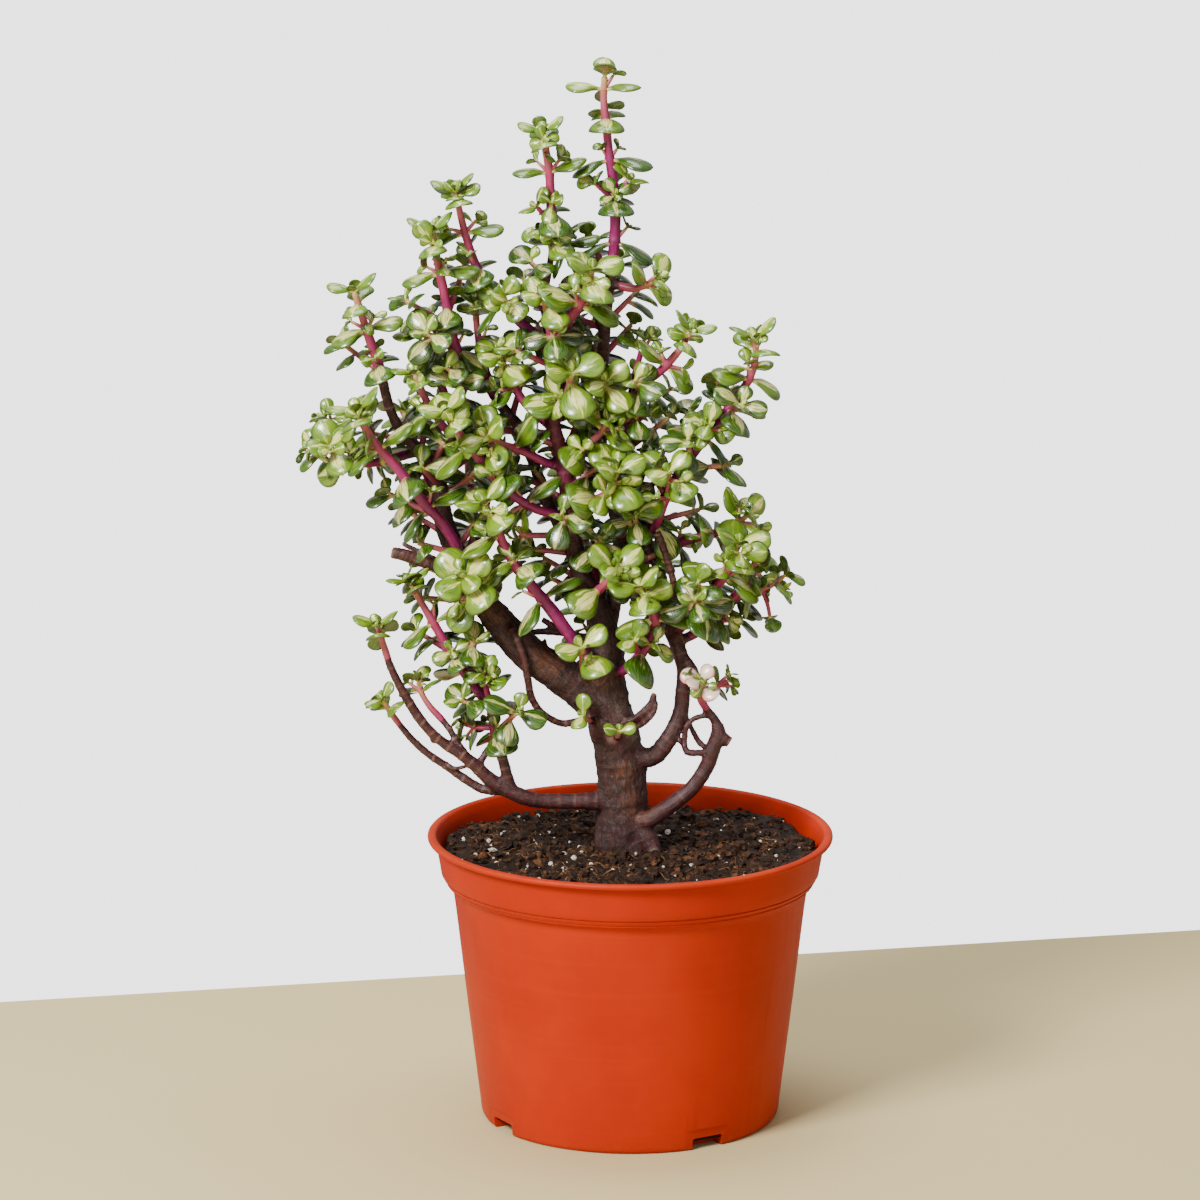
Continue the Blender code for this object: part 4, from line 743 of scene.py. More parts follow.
# Short side shoots in the axils, with small leaves, kept clear of everything else
axilLook = dict(chance=0.85, stalk=(2.2, 6.0), sizes=(0.42, 0.74), second=0.6, radius=0.75, clear=0.15,
                small=True, budPitch=68, buds=(0.16, 0.24), lean=(0.25, 0.75), pitches=(48, 14), shares=(0.72, 1.0),
                tries=((0, 0), (18, 25), (-18, -25), (30, 50), (0, -50)))


def bladeShape(foot, heading, out, length, pitch, grow):
    along = leafAxes(heading, out, pitch, 0)[0]
    return BVHTree.FromPolygons(*plainLeaf(foot + along * 1.2, heading, out, length - 1.6, pitch, 0, grow))


def planAxils():
    plan = {}
    done = {}
    for order, name in enumerate(shoots):
        draw = random.Random(900 + order)
        others = [blocked["wood"]] + [t for key, t in blocked["stems"].items() if key != name]
        others += [t for key, t in blocked["leaves"].items() if t]
        others += list(done.values())
        own, plain, plan[name] = [], [], []
        full = shoots[name]["full"]
        for info in leaves[name]:
            if info["pair"] < 1 or draw.random() > axilLook["chance"]:
                continue
            lean = draw.uniform(*axilLook["lean"])
            heading = (info["heading"] * lean + info["out"] * (1 - lean)).normalized()
            base = info["foot"] + info["out"] * info["radius"] * 0.6 + info["heading"] * 0.7
            stalk = info["radius"] * 0.7 + draw.uniform(*axilLook["stalk"])
            tip = base + heading * stalk
            turn = draw.uniform(0, 180)
            kept = []
            for pair in range(2 if draw.random() < axilLook["second"] else 1):
                for half in (0, 180):
                    size = full * draw.uniform(*axilLook["sizes"]) * axilLook["shares"][pair]
                    pitch = axilLook["pitches"][pair] + draw.uniform(-10, 10)
                    spot = tip - heading * (1.6 * pair)
                    for more, yaw in axilLook["tries"]:
                        out = outward(heading, turn + half + 90 * pair + yaw)
                        shape = bladeShape(spot, heading, out, size, pitch + more, axilLook["clear"])
                        if meets(shape, others, own):
                            continue
                        kept.append(dict(foot=spot, heading=heading, out=out, length=size, pitch=pitch + more, yaw=0,
                                         radius=0.6, pair=pair, age=info["age"] * 0.5))
                        own.append(shape)
                        plain.append(plainOf(kept[-1]))
                        break
            if kept:
                plan[name].append(dict(base=base, tip=tip, leaves=kept, heading=heading, full=full))
        if plain:
            done[name] = treeOf(plain)
    return plan


# Short sprigs straight from the wood, which fill the crown where the photograph is dense
fillLook = dict(step=6.5, low=196, high=335, left=-84, right=40, chance=0.9, reach=(7, 17), radius=1.15,
                small=False, budPitch=66, buds=(0.2, 0.3),
                sizes=(10.5, 14.0), turns=(0, 72, 144, 216, 288), clear=0.2, thickest=6, least=3, tipPart=24,
                bud=11.0, pairs=((0.62, 50, 0.0), (0.95, 20, 2.2), (1.0, -2, 6.5)),  # share, pitch and set back
                green=("low_left_long", "low_left_middle", "right_reach", "right_sweep", "right_low", "right_front",
                       "left_upper", "left_outer"))


def planFill(axils):
    others = [blocked["wood"]] + list(blocked["stems"].values()) + [t for t in blocked["leaves"].values() if t]
    small = [plainOf(info) for found in axils.values() for side in found for info in side["leaves"]]
    others.append(treeOf(small))
    draw = random.Random(77)
    plan = []
    spans = [(*span[:3], False) for span in woodRoutes if not span[3].startswith("twig_")
             and span[3] not in ("root", "low_left_outer", "pink_tipped")]
    for name in fillLook["green"]:
        route, start = stems[name][0][:2]
        spans.append((route, start, route.length - fillLook["tipPart"], True))
    for route, start, end, leafy in spans:
        mark = start + draw.uniform(2, 6)
        while mark < end - 2:
            place, heading, radius = route.at(mark)
            mark += fillLook["step"] * draw.uniform(0.8, 1.2)
            inside = fillLook["low"] < place.z < fillLook["high"] and fillLook["left"] < place.x < fillLook["right"]
            if not (inside or leafy) or radius > fillLook["thickest"] or draw.random() > fillLook["chance"]:
                continue
            firstTurn = draw.uniform(0, 360)
            best = None
            for more in fillLook["turns"]:
                out = outward(heading, firstTurn + more)
                reach = radius + draw.uniform(*fillLook["reach"])
                aim = (out + heading * 0.35 + Vector((0, -0.25, 0.35))).normalized()
                base = place + out * radius * 0.5
                tip = base + aim * reach
                if any(t.ray_cast(base + aim * (radius + 0.8), aim, reach - radius)[0] for t in others):
                    continue
                tipHeading = (aim * 0.7 + Vector((0, -0.15, 0.5))).normalized()
                kept, shapes = [], []
                turn = draw.uniform(0, 90)
                for pair, (share, pitch, back) in enumerate(fillLook["pairs"]):
                    if pair == 2 and reach < radius + 10:
                        break
                    spot = tip - aim * back
                    for half in (0, 180):
                        size = draw.uniform(*fillLook["sizes"]) * share
                        leafOut = outward(tipHeading, turn + 90 * pair + half + draw.uniform(-8, 8))
                        lift = pitch + draw.uniform(-8, 8)
                        shape = bladeShape(spot, tipHeading, leafOut, size, lift, fillLook["clear"])
                        if meets(shape, others, shapes):
                            continue
                        kept.append(dict(foot=spot, heading=tipHeading, out=leafOut, length=size, pitch=lift, yaw=0,
                                         radius=0.9, pair=pair, age=0.05 + 0.3 * pair + draw.uniform(0, 0.25)))
                        shapes.append(shape)
                if len(kept) >= fillLook["least"] and (best is None or len(kept) > len(best["leaves"])):
                    best = dict(base=base, tip=tip, leaves=kept, heading=tipHeading, full=fillLook["bud"])
            if best:
                plan.append(best)
                others.append(treeOf([plainOf(info) for info in best["leaves"]]))
    return plan


woodRoutes, stems, leaves, blocked = growPlan()
axils = planAxils()
fill = planFill(axils)
print("fill sprigs:", len(fill), "with", sum(len(side["leaves"]) for side in fill), "leaves")
print("routes and leaves planned:", sum(len(found) for found in leaves.values()), "leaves,",
      sum(len(side["leaves"]) for found in axils.values() for side in found), "small leaves")


# Pot: one turned skin with a rolled lip, a double groove and drain notches
pot = dict(
    turns=192,
    outer=[(0, 0.0), (30, 0.0), (52, 0.0), (53.9, 0.0), (54.9, 0.15), (55.7, 0.7), (56.15, 1.5), (56.4, 2.6),
           (57.0, 8), (59.2, 26), (61.4, 44), (63.5, 62), (65.6, 80), (66.6, 87.4), (66.85, 88.9), (67.5, 90.0),
           (68.6, 90.8), (69.3, 91.15), (69.4, 91.3), (69.15, 91.45), (69.15, 91.75), (69.55, 91.9), (69.75, 92.2),
           (70.35, 93.0), (70.45, 93.25), (70.15, 93.4), (70.2, 93.75), (70.8, 93.95), (71.1, 94.4), (71.5, 97),
           (72.4, 102), (72.85, 105.9), (73.0, 106.5), (73.5, 106.8), (74.7, 106.9), (75.4, 107.0),
           (75.9, 107.2), (76.15, 107.6), (76.2, 108.0), (76.1, 108.4), (75.8, 108.75), (75.3, 108.95),
           (74.7, 109.0), (74.0, 109.0), (73.4, 108.9), (73.0, 108.6), (72.6, 108.0), (72.0, 106.9),
           (71.3, 105.5), (70.6, 101), (70.0, 97), (69.3, 93), (67.8, 90.8), (65.1, 89),
           (61.6, 60), (57.5, 26), (55.1, 6), (54.7, 2.9), (53.5, 2.6), (30, 2.6), (0, 2.6)],
    drains=(31, 121, 211, 301), recess=(27.0, 1.1, 8.5), lean=0.12, slot=(13.0, 7.0, 4.6), base=56.3,
    cutterDepth=20, cutterBelow=1, bevel=0.5, sharpFrom=32)


def potPlastic():
    n = Nodes("orangePlastic")
    place = n.where()
    z = n.split(place)["Z"]
    cloud = n.grain(place, 22, 4, 0.6)
    speck = n.grain(place, 900, 2, 0.6)
    hoops = n.grain(n.stretch(place, (3.0, 3.0, 420.0)), 1.0, 3, 0.6)
    drawn = n.grain(n.stretch(place, (230.0, 230.0, 6.0)), 1.0, 3, 0.6)
    base = n.blend(n.fade(cloud, 0.35, 0.68), colour(166, 33, 0), colour(176, 39, 1))
    base = n.blend(n.times(n.fade(hoops, 0.52, 0.72), 0.22), base, colour(180, 50, 8))
    # Paler colour on the top of the rim, chosen by height
    paler = n.times(n.fade(z, 0.1078, 0.1089), n.fade(cloud, 0.38, 0.6, 0.35, 1.0))
    base = n.blend(n.times(paler, 0.5), base, colour(190, 68, 30))
    dust = n.times(n.fade(z, 0.012, 0.0), n.fade(speck, 0.45, 0.7, 0.2, 1.0))
    base = n.blend(n.times(dust, 0.25), base, colour(160, 66, 34))
    n.shade("Base Color", base)
    rough = n.maths("ADD", n.times(cloud, 0.14), 0.42)
    rough = n.maths("ADD", rough, n.times(n.fade(drawn, 0.5, 0.75), 0.09))
    n.shade("Roughness", rough)
    n.shade("Specular IOR Level", 0.14)
    fine = n.bump(hoops, 0.00006, 0.5)
    n.shade("Normal", n.bump(speck, 0.00003, 0.5, fine))
    return n.skin


def cutAway(made, cutters):
    group = bpy.data.collections.new("cutters")
    bpy.context.scene.collection.children.link(group)
    for cutter in cutters:
        bpy.context.scene.collection.objects.unlink(cutter)
        group.objects.link(cutter)
    boolean = made.modifiers.new("cut", "BOOLEAN")
    boolean.operation = "DIFFERENCE"
    boolean.operand_type = "COLLECTION"
    boolean.collection = group
    boolean.solver = "EXACT"
    bpy.context.view_layer.update()
    mesh = bpy.data.meshes.new_from_object(made.evaluated_get(bpy.context.evaluated_depsgraph_get()))
    made.modifiers.clear()
    made.data = mesh
    for cutter in list(group.objects):
        bpy.data.objects.remove(cutter)
    bpy.data.collections.remove(group)


def boxCutter(width, depth, height, reach, angle):
    turn = Matrix.Rotation(math.radians(angle), 4, "Z")
    shape = bmesh.new()
    bmesh.ops.create_cube(shape, size=1.0)
    for v in shape.verts:
        z = (v.co.z + 0.5) * (height + pot["cutterBelow"]) - pot["cutterBelow"]
        v.co = turn @ Vector((v.co.x * width, -(reach + (v.co.y + 0.5) * depth + pot["lean"] * z), z))
        v.co *= mm
    bmesh.ops.recalc_face_normals(shape, faces=shape.faces)
    edges = [e for e in shape.edges if all(v.co.z > 0.001 for v in e.verts)]
    bmesh.ops.bevel(shape, geom=edges, offset=pot["bevel"] * mm, segments=2, affect="EDGES")
    mesh = bpy.data.meshes.new("cutter")
    shape.to_mesh(mesh)
    shape.free()
    return newObject("cutter", mesh)


def makePot():
    turns = pot["turns"]
    profile = pot["outer"]
    verts = [Vector((0, 0, profile[0][1])) * mm]
    faces = []
    for r, z in profile[1:-1]:
        verts += circle(r, z, turns)
    verts.append(Vector((0, 0, profile[-1][1])) * mm)
    for k in range(turns):
        faces.append((0, 1 + (k + 1) % turns, 1 + k))
    faces += ringFaces(1, len(profile) - 3, turns)
    last = 1 + (len(profile) - 3) * turns
    for k in range(turns):
        faces.append((last + k, last + (k + 1) % turns, len(verts) - 1))
    made = addMesh("nurseryPot", verts, faces, smooth=False)
    cutters = []
    for angle in pot["drains"]:
        for width, depth, height in (pot["recess"], pot["slot"]):
            cutters.append(boxCutter(width, pot["cutterDepth"], height, pot["base"] - depth, angle))
    cutAway(made, cutters)
    made.data.materials.clear()
    made.data.materials.append(potPlastic())
    made.data.shade_smooth()
    made.data.set_sharp_from_angle(angle=math.radians(pot["sharpFrom"]))
    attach(made, "root")
    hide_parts("pot")


makePot()
print("pot made")


# Soil: a lumpy bed with crumbs of peat and bark, perlite and straw
soil = dict(edge=100.5, mound=3.5, lump=0.8, gap=0.3, wallIn=69.7, rings=60, turns=150,
            crumbs=2200, perlite=210, straws=420, seed=7,
            heaps=[(44, 42, 420, 2.4), (-58, 12, 260, 1.8)],  # across, back, spread and height
            bankFrom=30, bankWide=40, bankHigh=3.2,  # banked up at both sides
            edgeFrom=0.93, edgeDrop=1.2, sides=[(91.0, 66.6), (40.0, 58.2), (3.0, 54.2)],  # height and radius
            crumbSizes=(1.1, 5.2), perliteSizes=(0.7, 2.3),
            strawPoints=7, strawLength=(3, 10), strawRadius=(0.08, 0.2))


def soilHeight(x, y):
    fromTrunk = math.hypot(x + 2.0, y) / 60.0
    lumps = (math.sin(x * 0.21 + 1.3) * math.cos(y * 0.17 + 0.4) + 0.7 * math.sin(x * 0.37 - y * 0.29)
             + 0.5 * math.cos(x * 0.11 + y * 0.43 + 2.0))
    return soil["edge"] + soil["mound"] * math.exp(-fromTrunk * fromTrunk * 2.2) + soil["lump"] * lumps


def soilSurface(x, y):
    here = Vector((x, y, 0))
    rough = noise.fractal(here * 0.16, 1.0, 2.0, 4) * 1.5 + noise.noise(here * 0.9) * 0.35
    heaps = 0.0
    for across, back, spread, high in soil["heaps"]:
        heaps += high * math.exp(-((x - across) ** 2 + (y - back) ** 2) / spread)
    heaps += soil["bankHigh"] * max(0.0, (abs(x) - soil["bankFrom"]) / soil["bankWide"]) ** 1.5
    return soilHeight(x, y) + rough + heaps - 0.5


def soilSkin(name, dark, pale, fine):
    n = Nodes(name)
    place = n.where()
    lumps = n.grain(place, fine, 5, 0.65)
    flecks = n.grain(place, 1500, 2, 0.6)
    base = n.blend(n.fade(lumps, 0.36, 0.68), dark, pale)
    base = n.blend(n.times(n.fade(flecks, 0.64, 0.74), 0.35), base, colour(136, 94, 56))
    n.shade("Base Color", base)
    n.shade("Roughness", n.fade(lumps, 0.3, 0.7, 0.98, 0.72))
    n.shade("Specular IOR Level", 0.3)
    n.shade("Normal", n.bump(lumps, 0.0008, 0.9, n.bump(flecks, 0.0003, 0.6)))
    return n.skin


def makeSoilBed():
    verts, faces = [], []
    turns, rings, reach = soil["turns"], soil["rings"], soil["wallIn"]
    for i in range(1, rings + 1):
        for k in range(turns):
            angle = 2 * math.pi * k / turns
            r = reach * i / rings
            x, y = r * math.sin(angle), -r * math.cos(angle)
            edge = max(0.0, i / rings - soil["edgeFrom"]) / 0.07
            verts.append(Vector((x, y, soilSurface(x, y) - edge * soil["edgeDrop"])) * mm)
    faces += ringFaces(0, rings - 1, turns, turned=True)
    verts.append(Vector((0, 0, soilSurface(0, 0))) * mm)
    for k in range(turns):
        faces.append((k, (k + 1) % turns, len(verts) - 1))
    ring = (rings - 1) * turns
    for depth, r in soil["sides"]:
        start = len(verts)
        verts += circle(r, depth, turns)
        for k in range(turns):
            faces.append((ring + k, start + k, start + (k + 1) % turns, ring + (k + 1) % turns))
        ring = start
    faces.append(tuple(ring + k for k in range(turns)))
    bed = addMesh("soilBed", verts, faces, skins=[soilSkin("peat", colour(16, 8, 4), colour(47, 27, 14), 260)])
    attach(bed, "root")
    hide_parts("soil")


def grainShape(detail):
    shape = bmesh.new()
    bmesh.ops.create_icosphere(shape, subdivisions=detail, radius=1.0)
    verts = [v.co.copy() for v in shape.verts]
    faces = [tuple(v.index for v in f.verts) for f in shape.faces]
    shape.free()
    return verts, faces


# Loose grains on the soil: sizes is a pair in mm, flat squashes them, and jag roughens them
def scatterGrains(name, count, sizes, flat, detail, skins, draw, lift, jag):
    ball, ballFaces = grainShape(detail)
    verts, faces, skinOf = [], [], []
    for i in range(count):
        angle = draw.uniform(0, 2 * math.pi)
        r = (soil["wallIn"] - 1.2) * math.sqrt(draw.uniform(0.0, 1.0))
        x, y = r * math.sin(angle), -r * math.cos(angle)
        size = sizes[0] + (sizes[1] - sizes[0]) * draw.random() ** 3.0
        shape = Vector((draw.uniform(0.7, 1.7), draw.uniform(0.6, 1.0), draw.uniform(*flat))) * size / 2
        size = max(shape)
        if r + size > soil["wallIn"] + 0.4:
            continue
        turn = Matrix.Rotation(draw.uniform(0, 6.28), 3, "Z") @ Matrix.Rotation(draw.gauss(0, 0.4), 3, "X")
        centre = Vector((x, y, soilSurface(x, y) + shape.z * lift))
        offset = Vector((draw.uniform(-50, 50), draw.uniform(-50, 50), 0))
        start = len(verts)
        for v in ball:
            rough = 1 + jag * noise.noise(v * 1.7 + offset)
            verts.append((centre + turn @ Vector((v.x * shape.x, v.y * shape.y, v.z * shape.z)) * rough) * mm)
        faces += [tuple(start + j for j in f) for f in ballFaces]
        skinOf += [draw.randrange(len(skins))] * len(ballFaces)
    made = addMesh(name, verts, faces, skins=skins, skinOf=skinOf, smooth=False)
    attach(made, "root")
    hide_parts("soil")


def strands(name, paths, sides, skins, draw):
    verts, faces, skinOf = [], [], []
    for points, radius in paths:
        start = len(verts)
        side = None
        for k, point in enumerate(points):
            heading = (points[min(k + 1, len(points) - 1)] - points[max(k - 1, 0)]).normalized()
            side = heading.orthogonal() if side is None else side
            side = (side - heading * side.dot(heading)).normalized()
            other = heading.cross(side)
            for j in range(sides):
                a = 2 * math.pi * j / sides
                verts.append((point + radius * (math.cos(a) * side + math.sin(a) * other)) * mm)
        faces += ringFaces(start, len(points) - 1, sides)
        faces.append(tuple(start + j for j in reversed(range(sides))))
        faces.append(tuple(start + (len(points) - 1) * sides + j for j in range(sides)))
        skinOf += [draw.randrange(len(skins))] * ((len(points) - 1) * sides + 2)
    return addMesh(name, verts, faces, skins=skins, skinOf=skinOf)


def makeSoilLitter():
    draw = random.Random(soil["seed"])
    crumbs = [soilSkin("darkCrumb", colour(19, 10, 5), colour(51, 29, 14), 420),
              soilSkin("peatCrumb", colour(28, 15, 7), colour(70, 42, 21), 380),
              soilSkin("barkCrumb", colour(48, 26, 13), colour(104, 64, 34), 300)]
    scatterGrains("peatCrumbs", soil["crumbs"], soil["crumbSizes"], (0.35, 0.95), 2,
                  crumbs[:2] + crumbs[:2] + crumbs[2:], draw, 0.25, 0.75)
    white = Nodes("perliteGrain")
    place = white.where()
    pits = white.grain(place, 1400, 3, 0.7)
    white.shade("Base Color", white.blend(white.fade(pits, 0.35, 0.6), colour(150, 135, 118),
                                                             colour(226, 218, 205)))
    white.shade("Roughness", 0.9)
    white.shade("Normal", white.bump(pits, 0.0004, 1.0))
    scatterGrains("perlite", soil["perlite"], soil["perliteSizes"], (0.7, 1.0), 2, [white.skin], draw, 0.55, 0.5)
    paths = []
    for i in range(soil["straws"]):
        angle = draw.uniform(0, 2 * math.pi)
        r = (soil["wallIn"] - 9) * math.sqrt(draw.random())
        x, y = r * math.sin(angle), -r * math.cos(angle)
        heading = draw.uniform(0, 6.28)
        length = draw.uniform(*soil["strawLength"])
        points = []
        for k in range(soil["strawPoints"]):
            heading += draw.gauss(0, 0.22)
            x += math.cos(heading) * length / (soil["strawPoints"] - 1)
            y += math.sin(heading) * length / (soil["strawPoints"] - 1)
            if math.hypot(x, y) < soil["wallIn"] - 1:
                points.append(Vector((x, y, soilSurface(x, y) + 0.5 + 0.7 * math.sin(k))))
        if len(points) > 3:
            paths.append((points, draw.uniform(*soil["strawRadius"])))
    straw = [soilSkin("straw", colour(92, 60, 34), colour(150, 110, 70), 900),
             soilSkin("darkStraw", colour(44, 25, 13), colour(84, 52, 29), 900)]
    made = strands("straws", paths, 5, straw, draw)
    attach(made, "root")
    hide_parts("soil")


makeSoilBed()
makeSoilLitter()
print("soil made")


# Bark: every wood tube fused by a voxel remesh, then ring scars, cracks and lumps pushed into it
bark = dict(sides=14, step=1.4, voxel=0.68, smoothings=2, lumps=0.09, scar=0.3, scarWide=0.4, scarReach=1.6,
            crack=0.55, crackFrom=4.2, thickFrom=3.4, nearest=10,
            palePatches=[(-2, 158, -9, 6.5), (3.5, 146, -7, 6.0), (9, 101, -12, 3.0), (-33, 190, -8, 5.0),
                         (12.5, 150, -8, 4.0), (-64, 213, -3, 4.0)],
            tanPatches=[(3, 119, -10, 9.0), (-30, 177, -9, 9.0), (-2, 132, -9, 6.0), (-50, 195, -6, 8.0),
                        (-12, 168, -9, 7.0)],
            thickRings=(3.0, 6.0), thinRings=(2.8, 6.2), closeRings=(1.2, 1.9),
            ringed=("twig_left_stub", "twig_left_thin_stub", "twig_dry_twig"),
            cutEnds=("twig_left_stub", "twig_left_thin_stub", "twig_upper_stub", "twig_cut_twig",
                     "twig_right_knob"))


def woodLump(salt):
    def swell(mark, angle, radius):
        place = Vector((math.cos(angle) * 1.3, math.sin(angle) * 1.3, mark * 0.16 + salt))
        wide = 0.09 if radius > 5 else 0.07
        return radius * (1 + wide * noise.noise(place) + 0.04 * noise.noise(place * 2.7))
    return swell


def ringMarks(length, spacing, draw):
    marks, mark = [], draw.uniform(0.5, 3)
    while mark < length:
        marks.append((mark, draw.uniform(0.5, 1.0), draw.uniform(-0.5, 0.5), draw.uniform(0, 6.28)))
        mark += draw.uniform(*spacing)
    return marks


def barkSkin():
    n = Nodes("barkSkin")
    grainPlace = n.stored("barkGrain")
    crimson, girth, pale = n.split(n.stored("barkTone"))
    scar, tan, cut = n.split(n.stored("barkFinish"))
    place = n.where()
    cloud = n.grain(place, 60, 4, 0.6)
    fibre = n.grain(n.stretch(grainPlace, (1.6, 1.6, 0.32)), 1.0, 5, 0.62, 0.3)
    fine = n.grain(n.stretch(grainPlace, (3.0, 3.0, 2.0)), 1.0, 4, 0.65)
    bands = n.grain(n.stretch(grainPlace, (0.12, 0.12, 1.1)), 1.0, 3, 0.6, 0.4)
    thick = n.fade(girth, 2.6, 6.0)
    dark = n.blend(thick, colour(27, 4, 7), colour(27, 7, 5))
    mid = n.blend(thick, colour(70, 9, 15), colour(64, 22, 14))
    base = n.blend(n.fade(fibre, 0.34, 0.66), dark, mid)
    base = n.blend(n.times(n.fade(bands, 0.52, 0.7), 0.55), base, n.blend(thick, colour(92, 16, 22),
                                                                                    colour(82, 38, 20)))
    base = n.blend(n.times(n.fade(cloud, 0.56, 0.72), 0.4), base, colour(40, 8, 11))
    base = n.blend(n.times(tan, n.fade(fibre, 0.36, 0.6, 0.15, 0.85)), base, colour(98, 52, 25))
    grey = n.times(pale, n.fade(fine, 0.4, 0.62))
    base = n.blend(grey, base, colour(132, 112, 100))
    flecks = n.times(n.fade(n.grain(grainPlace, 1.9, 2, 0.5), 0.63, 0.7), n.fade(scar, 0.0, 0.5, 0.3, 0.8))
    base = n.blend(flecks, base, colour(138, 112, 102))
    base = n.blend(n.times(scar, n.fade(fine, 0.3, 0.6, 0.35, 0.8)), base, colour(20, 7, 6))
    base = n.blend(cut, base, n.blend(n.fade(fine, 0.4, 0.6), colour(96, 60, 42), colour(150, 112, 84)))
    red = n.blend(n.fade(fibre, 0.35, 0.7), colour(82, 10, 36), colour(128, 22, 76))
    base = n.blend(n.times(crimson, n.fade(cloud, 0.3, 0.62, 0.8, 1.0)), base, red)
    thin = n.fade(girth, 4.2, 2.2)
    # Painted highlight: a pale colour laid on the ring scars of the thin branches
    paler = n.times(n.times(scar, thin), n.fade(cloud, 0.4, 0.6, 0.1, 0.7))
    base = n.blend(paler, base, colour(150, 102, 90))  # pale rings on the thin branches
    n.shade("Base Color", base)
    rough = n.maths("SUBTRACT", n.fade(fibre, 0.3, 0.7, 0.76, 0.54), n.times(thin, 0.24))
    n.shade("Roughness", rough)
    n.shade("Specular IOR Level", 0.6)
    deep = n.bump(fibre, 0.0005, 0.75)
    n.shade("Normal", n.bump(fine, 0.00022, 0.7, deep))
    return n.skin


def inPatch(here, patches):
    return max([0.0] + [1 - (here - seen(*patch[:3])).length / patch[3] for patch in patches])


def makeBark():
    verts, faces = [], []
    samples = []
    draw = random.Random(21)
    for order, (route, start, end, name) in enumerate(woodRoutes):
        piece = tube(route, start, end, bark["sides"], bark["step"], woodLump(order * 7.3))
        base = len(verts)
        verts += [v * mm for v in piece[0]]
        faces += [tuple(base + i for i in face) for face in piece[1]]
        spacing = bark["thickRings"] if route.at(end / 2)[2] > 4 else bark["thinRings"]
        rings = ringMarks(end, bark["closeRings"] if name in bark["ringed"] else spacing, draw)
        for mark, place, heading, side, other, radius in piece[2]:
            samples.append((place, mark, heading, side, other, radius, rings, end, name, order))
    rough = addMesh("bark", verts, faces, smooth=False)
    fuse = rough.modifiers.new("fuse", "REMESH")
    fuse.mode = "VOXEL"
    fuse.voxel_size = bark["voxel"] * mm
    bpy.context.view_layer.update()
    fused = bpy.data.meshes.new_from_object(rough.evaluated_get(bpy.context.evaluated_depsgraph_get()))
    rough.modifiers.clear()
    old = rough.data
    rough.data = fused
    bpy.data.meshes.remove(old)
    shape = bmesh.new()
    shape.from_mesh(fused)
    for turn in range(bark["smoothings"]):
        bmesh.ops.smooth_vert(shape, verts=shape.verts, factor=0.5, use_axis_x=True, use_axis_y=True, use_axis_z=True)
    shape.to_mesh(fused)
    shape.free()
    tree = KDTree(len(samples))
    for i, sample in enumerate(samples):
        tree.insert(sample[0], i)
    tree.balance()
    grainMap, toneMap, finishMap, moved = [], [], [], []
    normals = [n.vector.copy() for n in fused.vertex_normals]
    for v, normal in zip(fused.vertices, normals):
        here = v.co / mm
        best = min(((near[0] - here).length - samples[near[1]][5], near[1])
                   for near in tree.find_n(here, bark["nearest"]))[1]
        place, mark, heading, side, other, radius, rings, end, name, order = samples[best]
        offset = here - place
        mark += offset.dot(heading)
        lx, ly = offset.dot(side), offset.dot(other)
        angle = math.atan2(ly, lx)
        scar = 0.0
        for ringMark, strength, tilt, phase in rings:
            away = mark - ringMark - tilt * math.cos(angle - phase)
            if abs(away) < bark["scarReach"]:
                scar = max(scar, strength * math.exp(-(away / bark["scarWide"]) ** 2))
        size = 1.0 if radius > bark["thickFrom"] else 0.62
        grainSpot = Vector((lx * 0.55, ly * 0.55, mark * 0.13 + order * 11))
        crack = max(0.0, abs(noise.noise(grainSpot)) * -6 + 1.0) if radius > bark["crackFrom"] else 0.0
        push = bark["scar"] * scar * size - bark["crack"] * crack * 0.6 * min(1.0, radius / 8)
        lumpiness = 1.6 if radius > bark["thickFrom"] else 0.8
        push += bark["lumps"] * noise.fractal(here * 0.55, 1.0, 2.0, 3) * lumpiness
        moved.append(here + normal * push)
        crimson = unit((here.z - 222) / 16) * unit((9.5 - abs(here.x + 26)) / 3)
        crimson *= 1.0 if name == "trunk" or end < 12 else 0.0
        pale, tan = inPatch(here, bark["palePatches"]), inPatch(here, bark["tanPatches"])
        cut = unit((mark - end + 0.9) / 0.5) if name in bark["cutEnds"] else 0.0
        grainMap.append((lx, ly, mark + order * 31))
        toneMap.append((crimson, radius, min(1.0, pale * 1.8)))
        finishMap.append((min(1.0, scar + crack * 0.9), min(1.0, tan * 1.7), cut))
    for v, spot in zip(fused.vertices, moved):
        v.co = spot * mm
    putMaps(fused, dict(barkGrain=grainMap, barkTone=toneMap, barkFinish=finishMap))
    fused.materials.clear()
    fused.materials.append(barkSkin())
    fused.shade_smooth()
    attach(rough, "root")
    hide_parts("trunk")
    print("bark made:", len(fused.polygons), "faces")


makeBark()


# Leafy stems: fleshy leaves in crossed pairs on round stems, with buds at the tips and in the axils
leafFine = dict(rings=12, round=14, smallRings=8, smallRound=9, thick=0.095, thin=0.05, widest=0.62, half=0.425,
                petiole=0.062, budSizes=(0.30, 0.42))
stemFine = dict(sides=12, step=1.1, flare=0.16, sunk=1.4, farFromLeaf=9.0, armOffset=12)
stalkFine = dict(rows=3, sides=8, foot=1.15, taper=0.35, toTip=16)


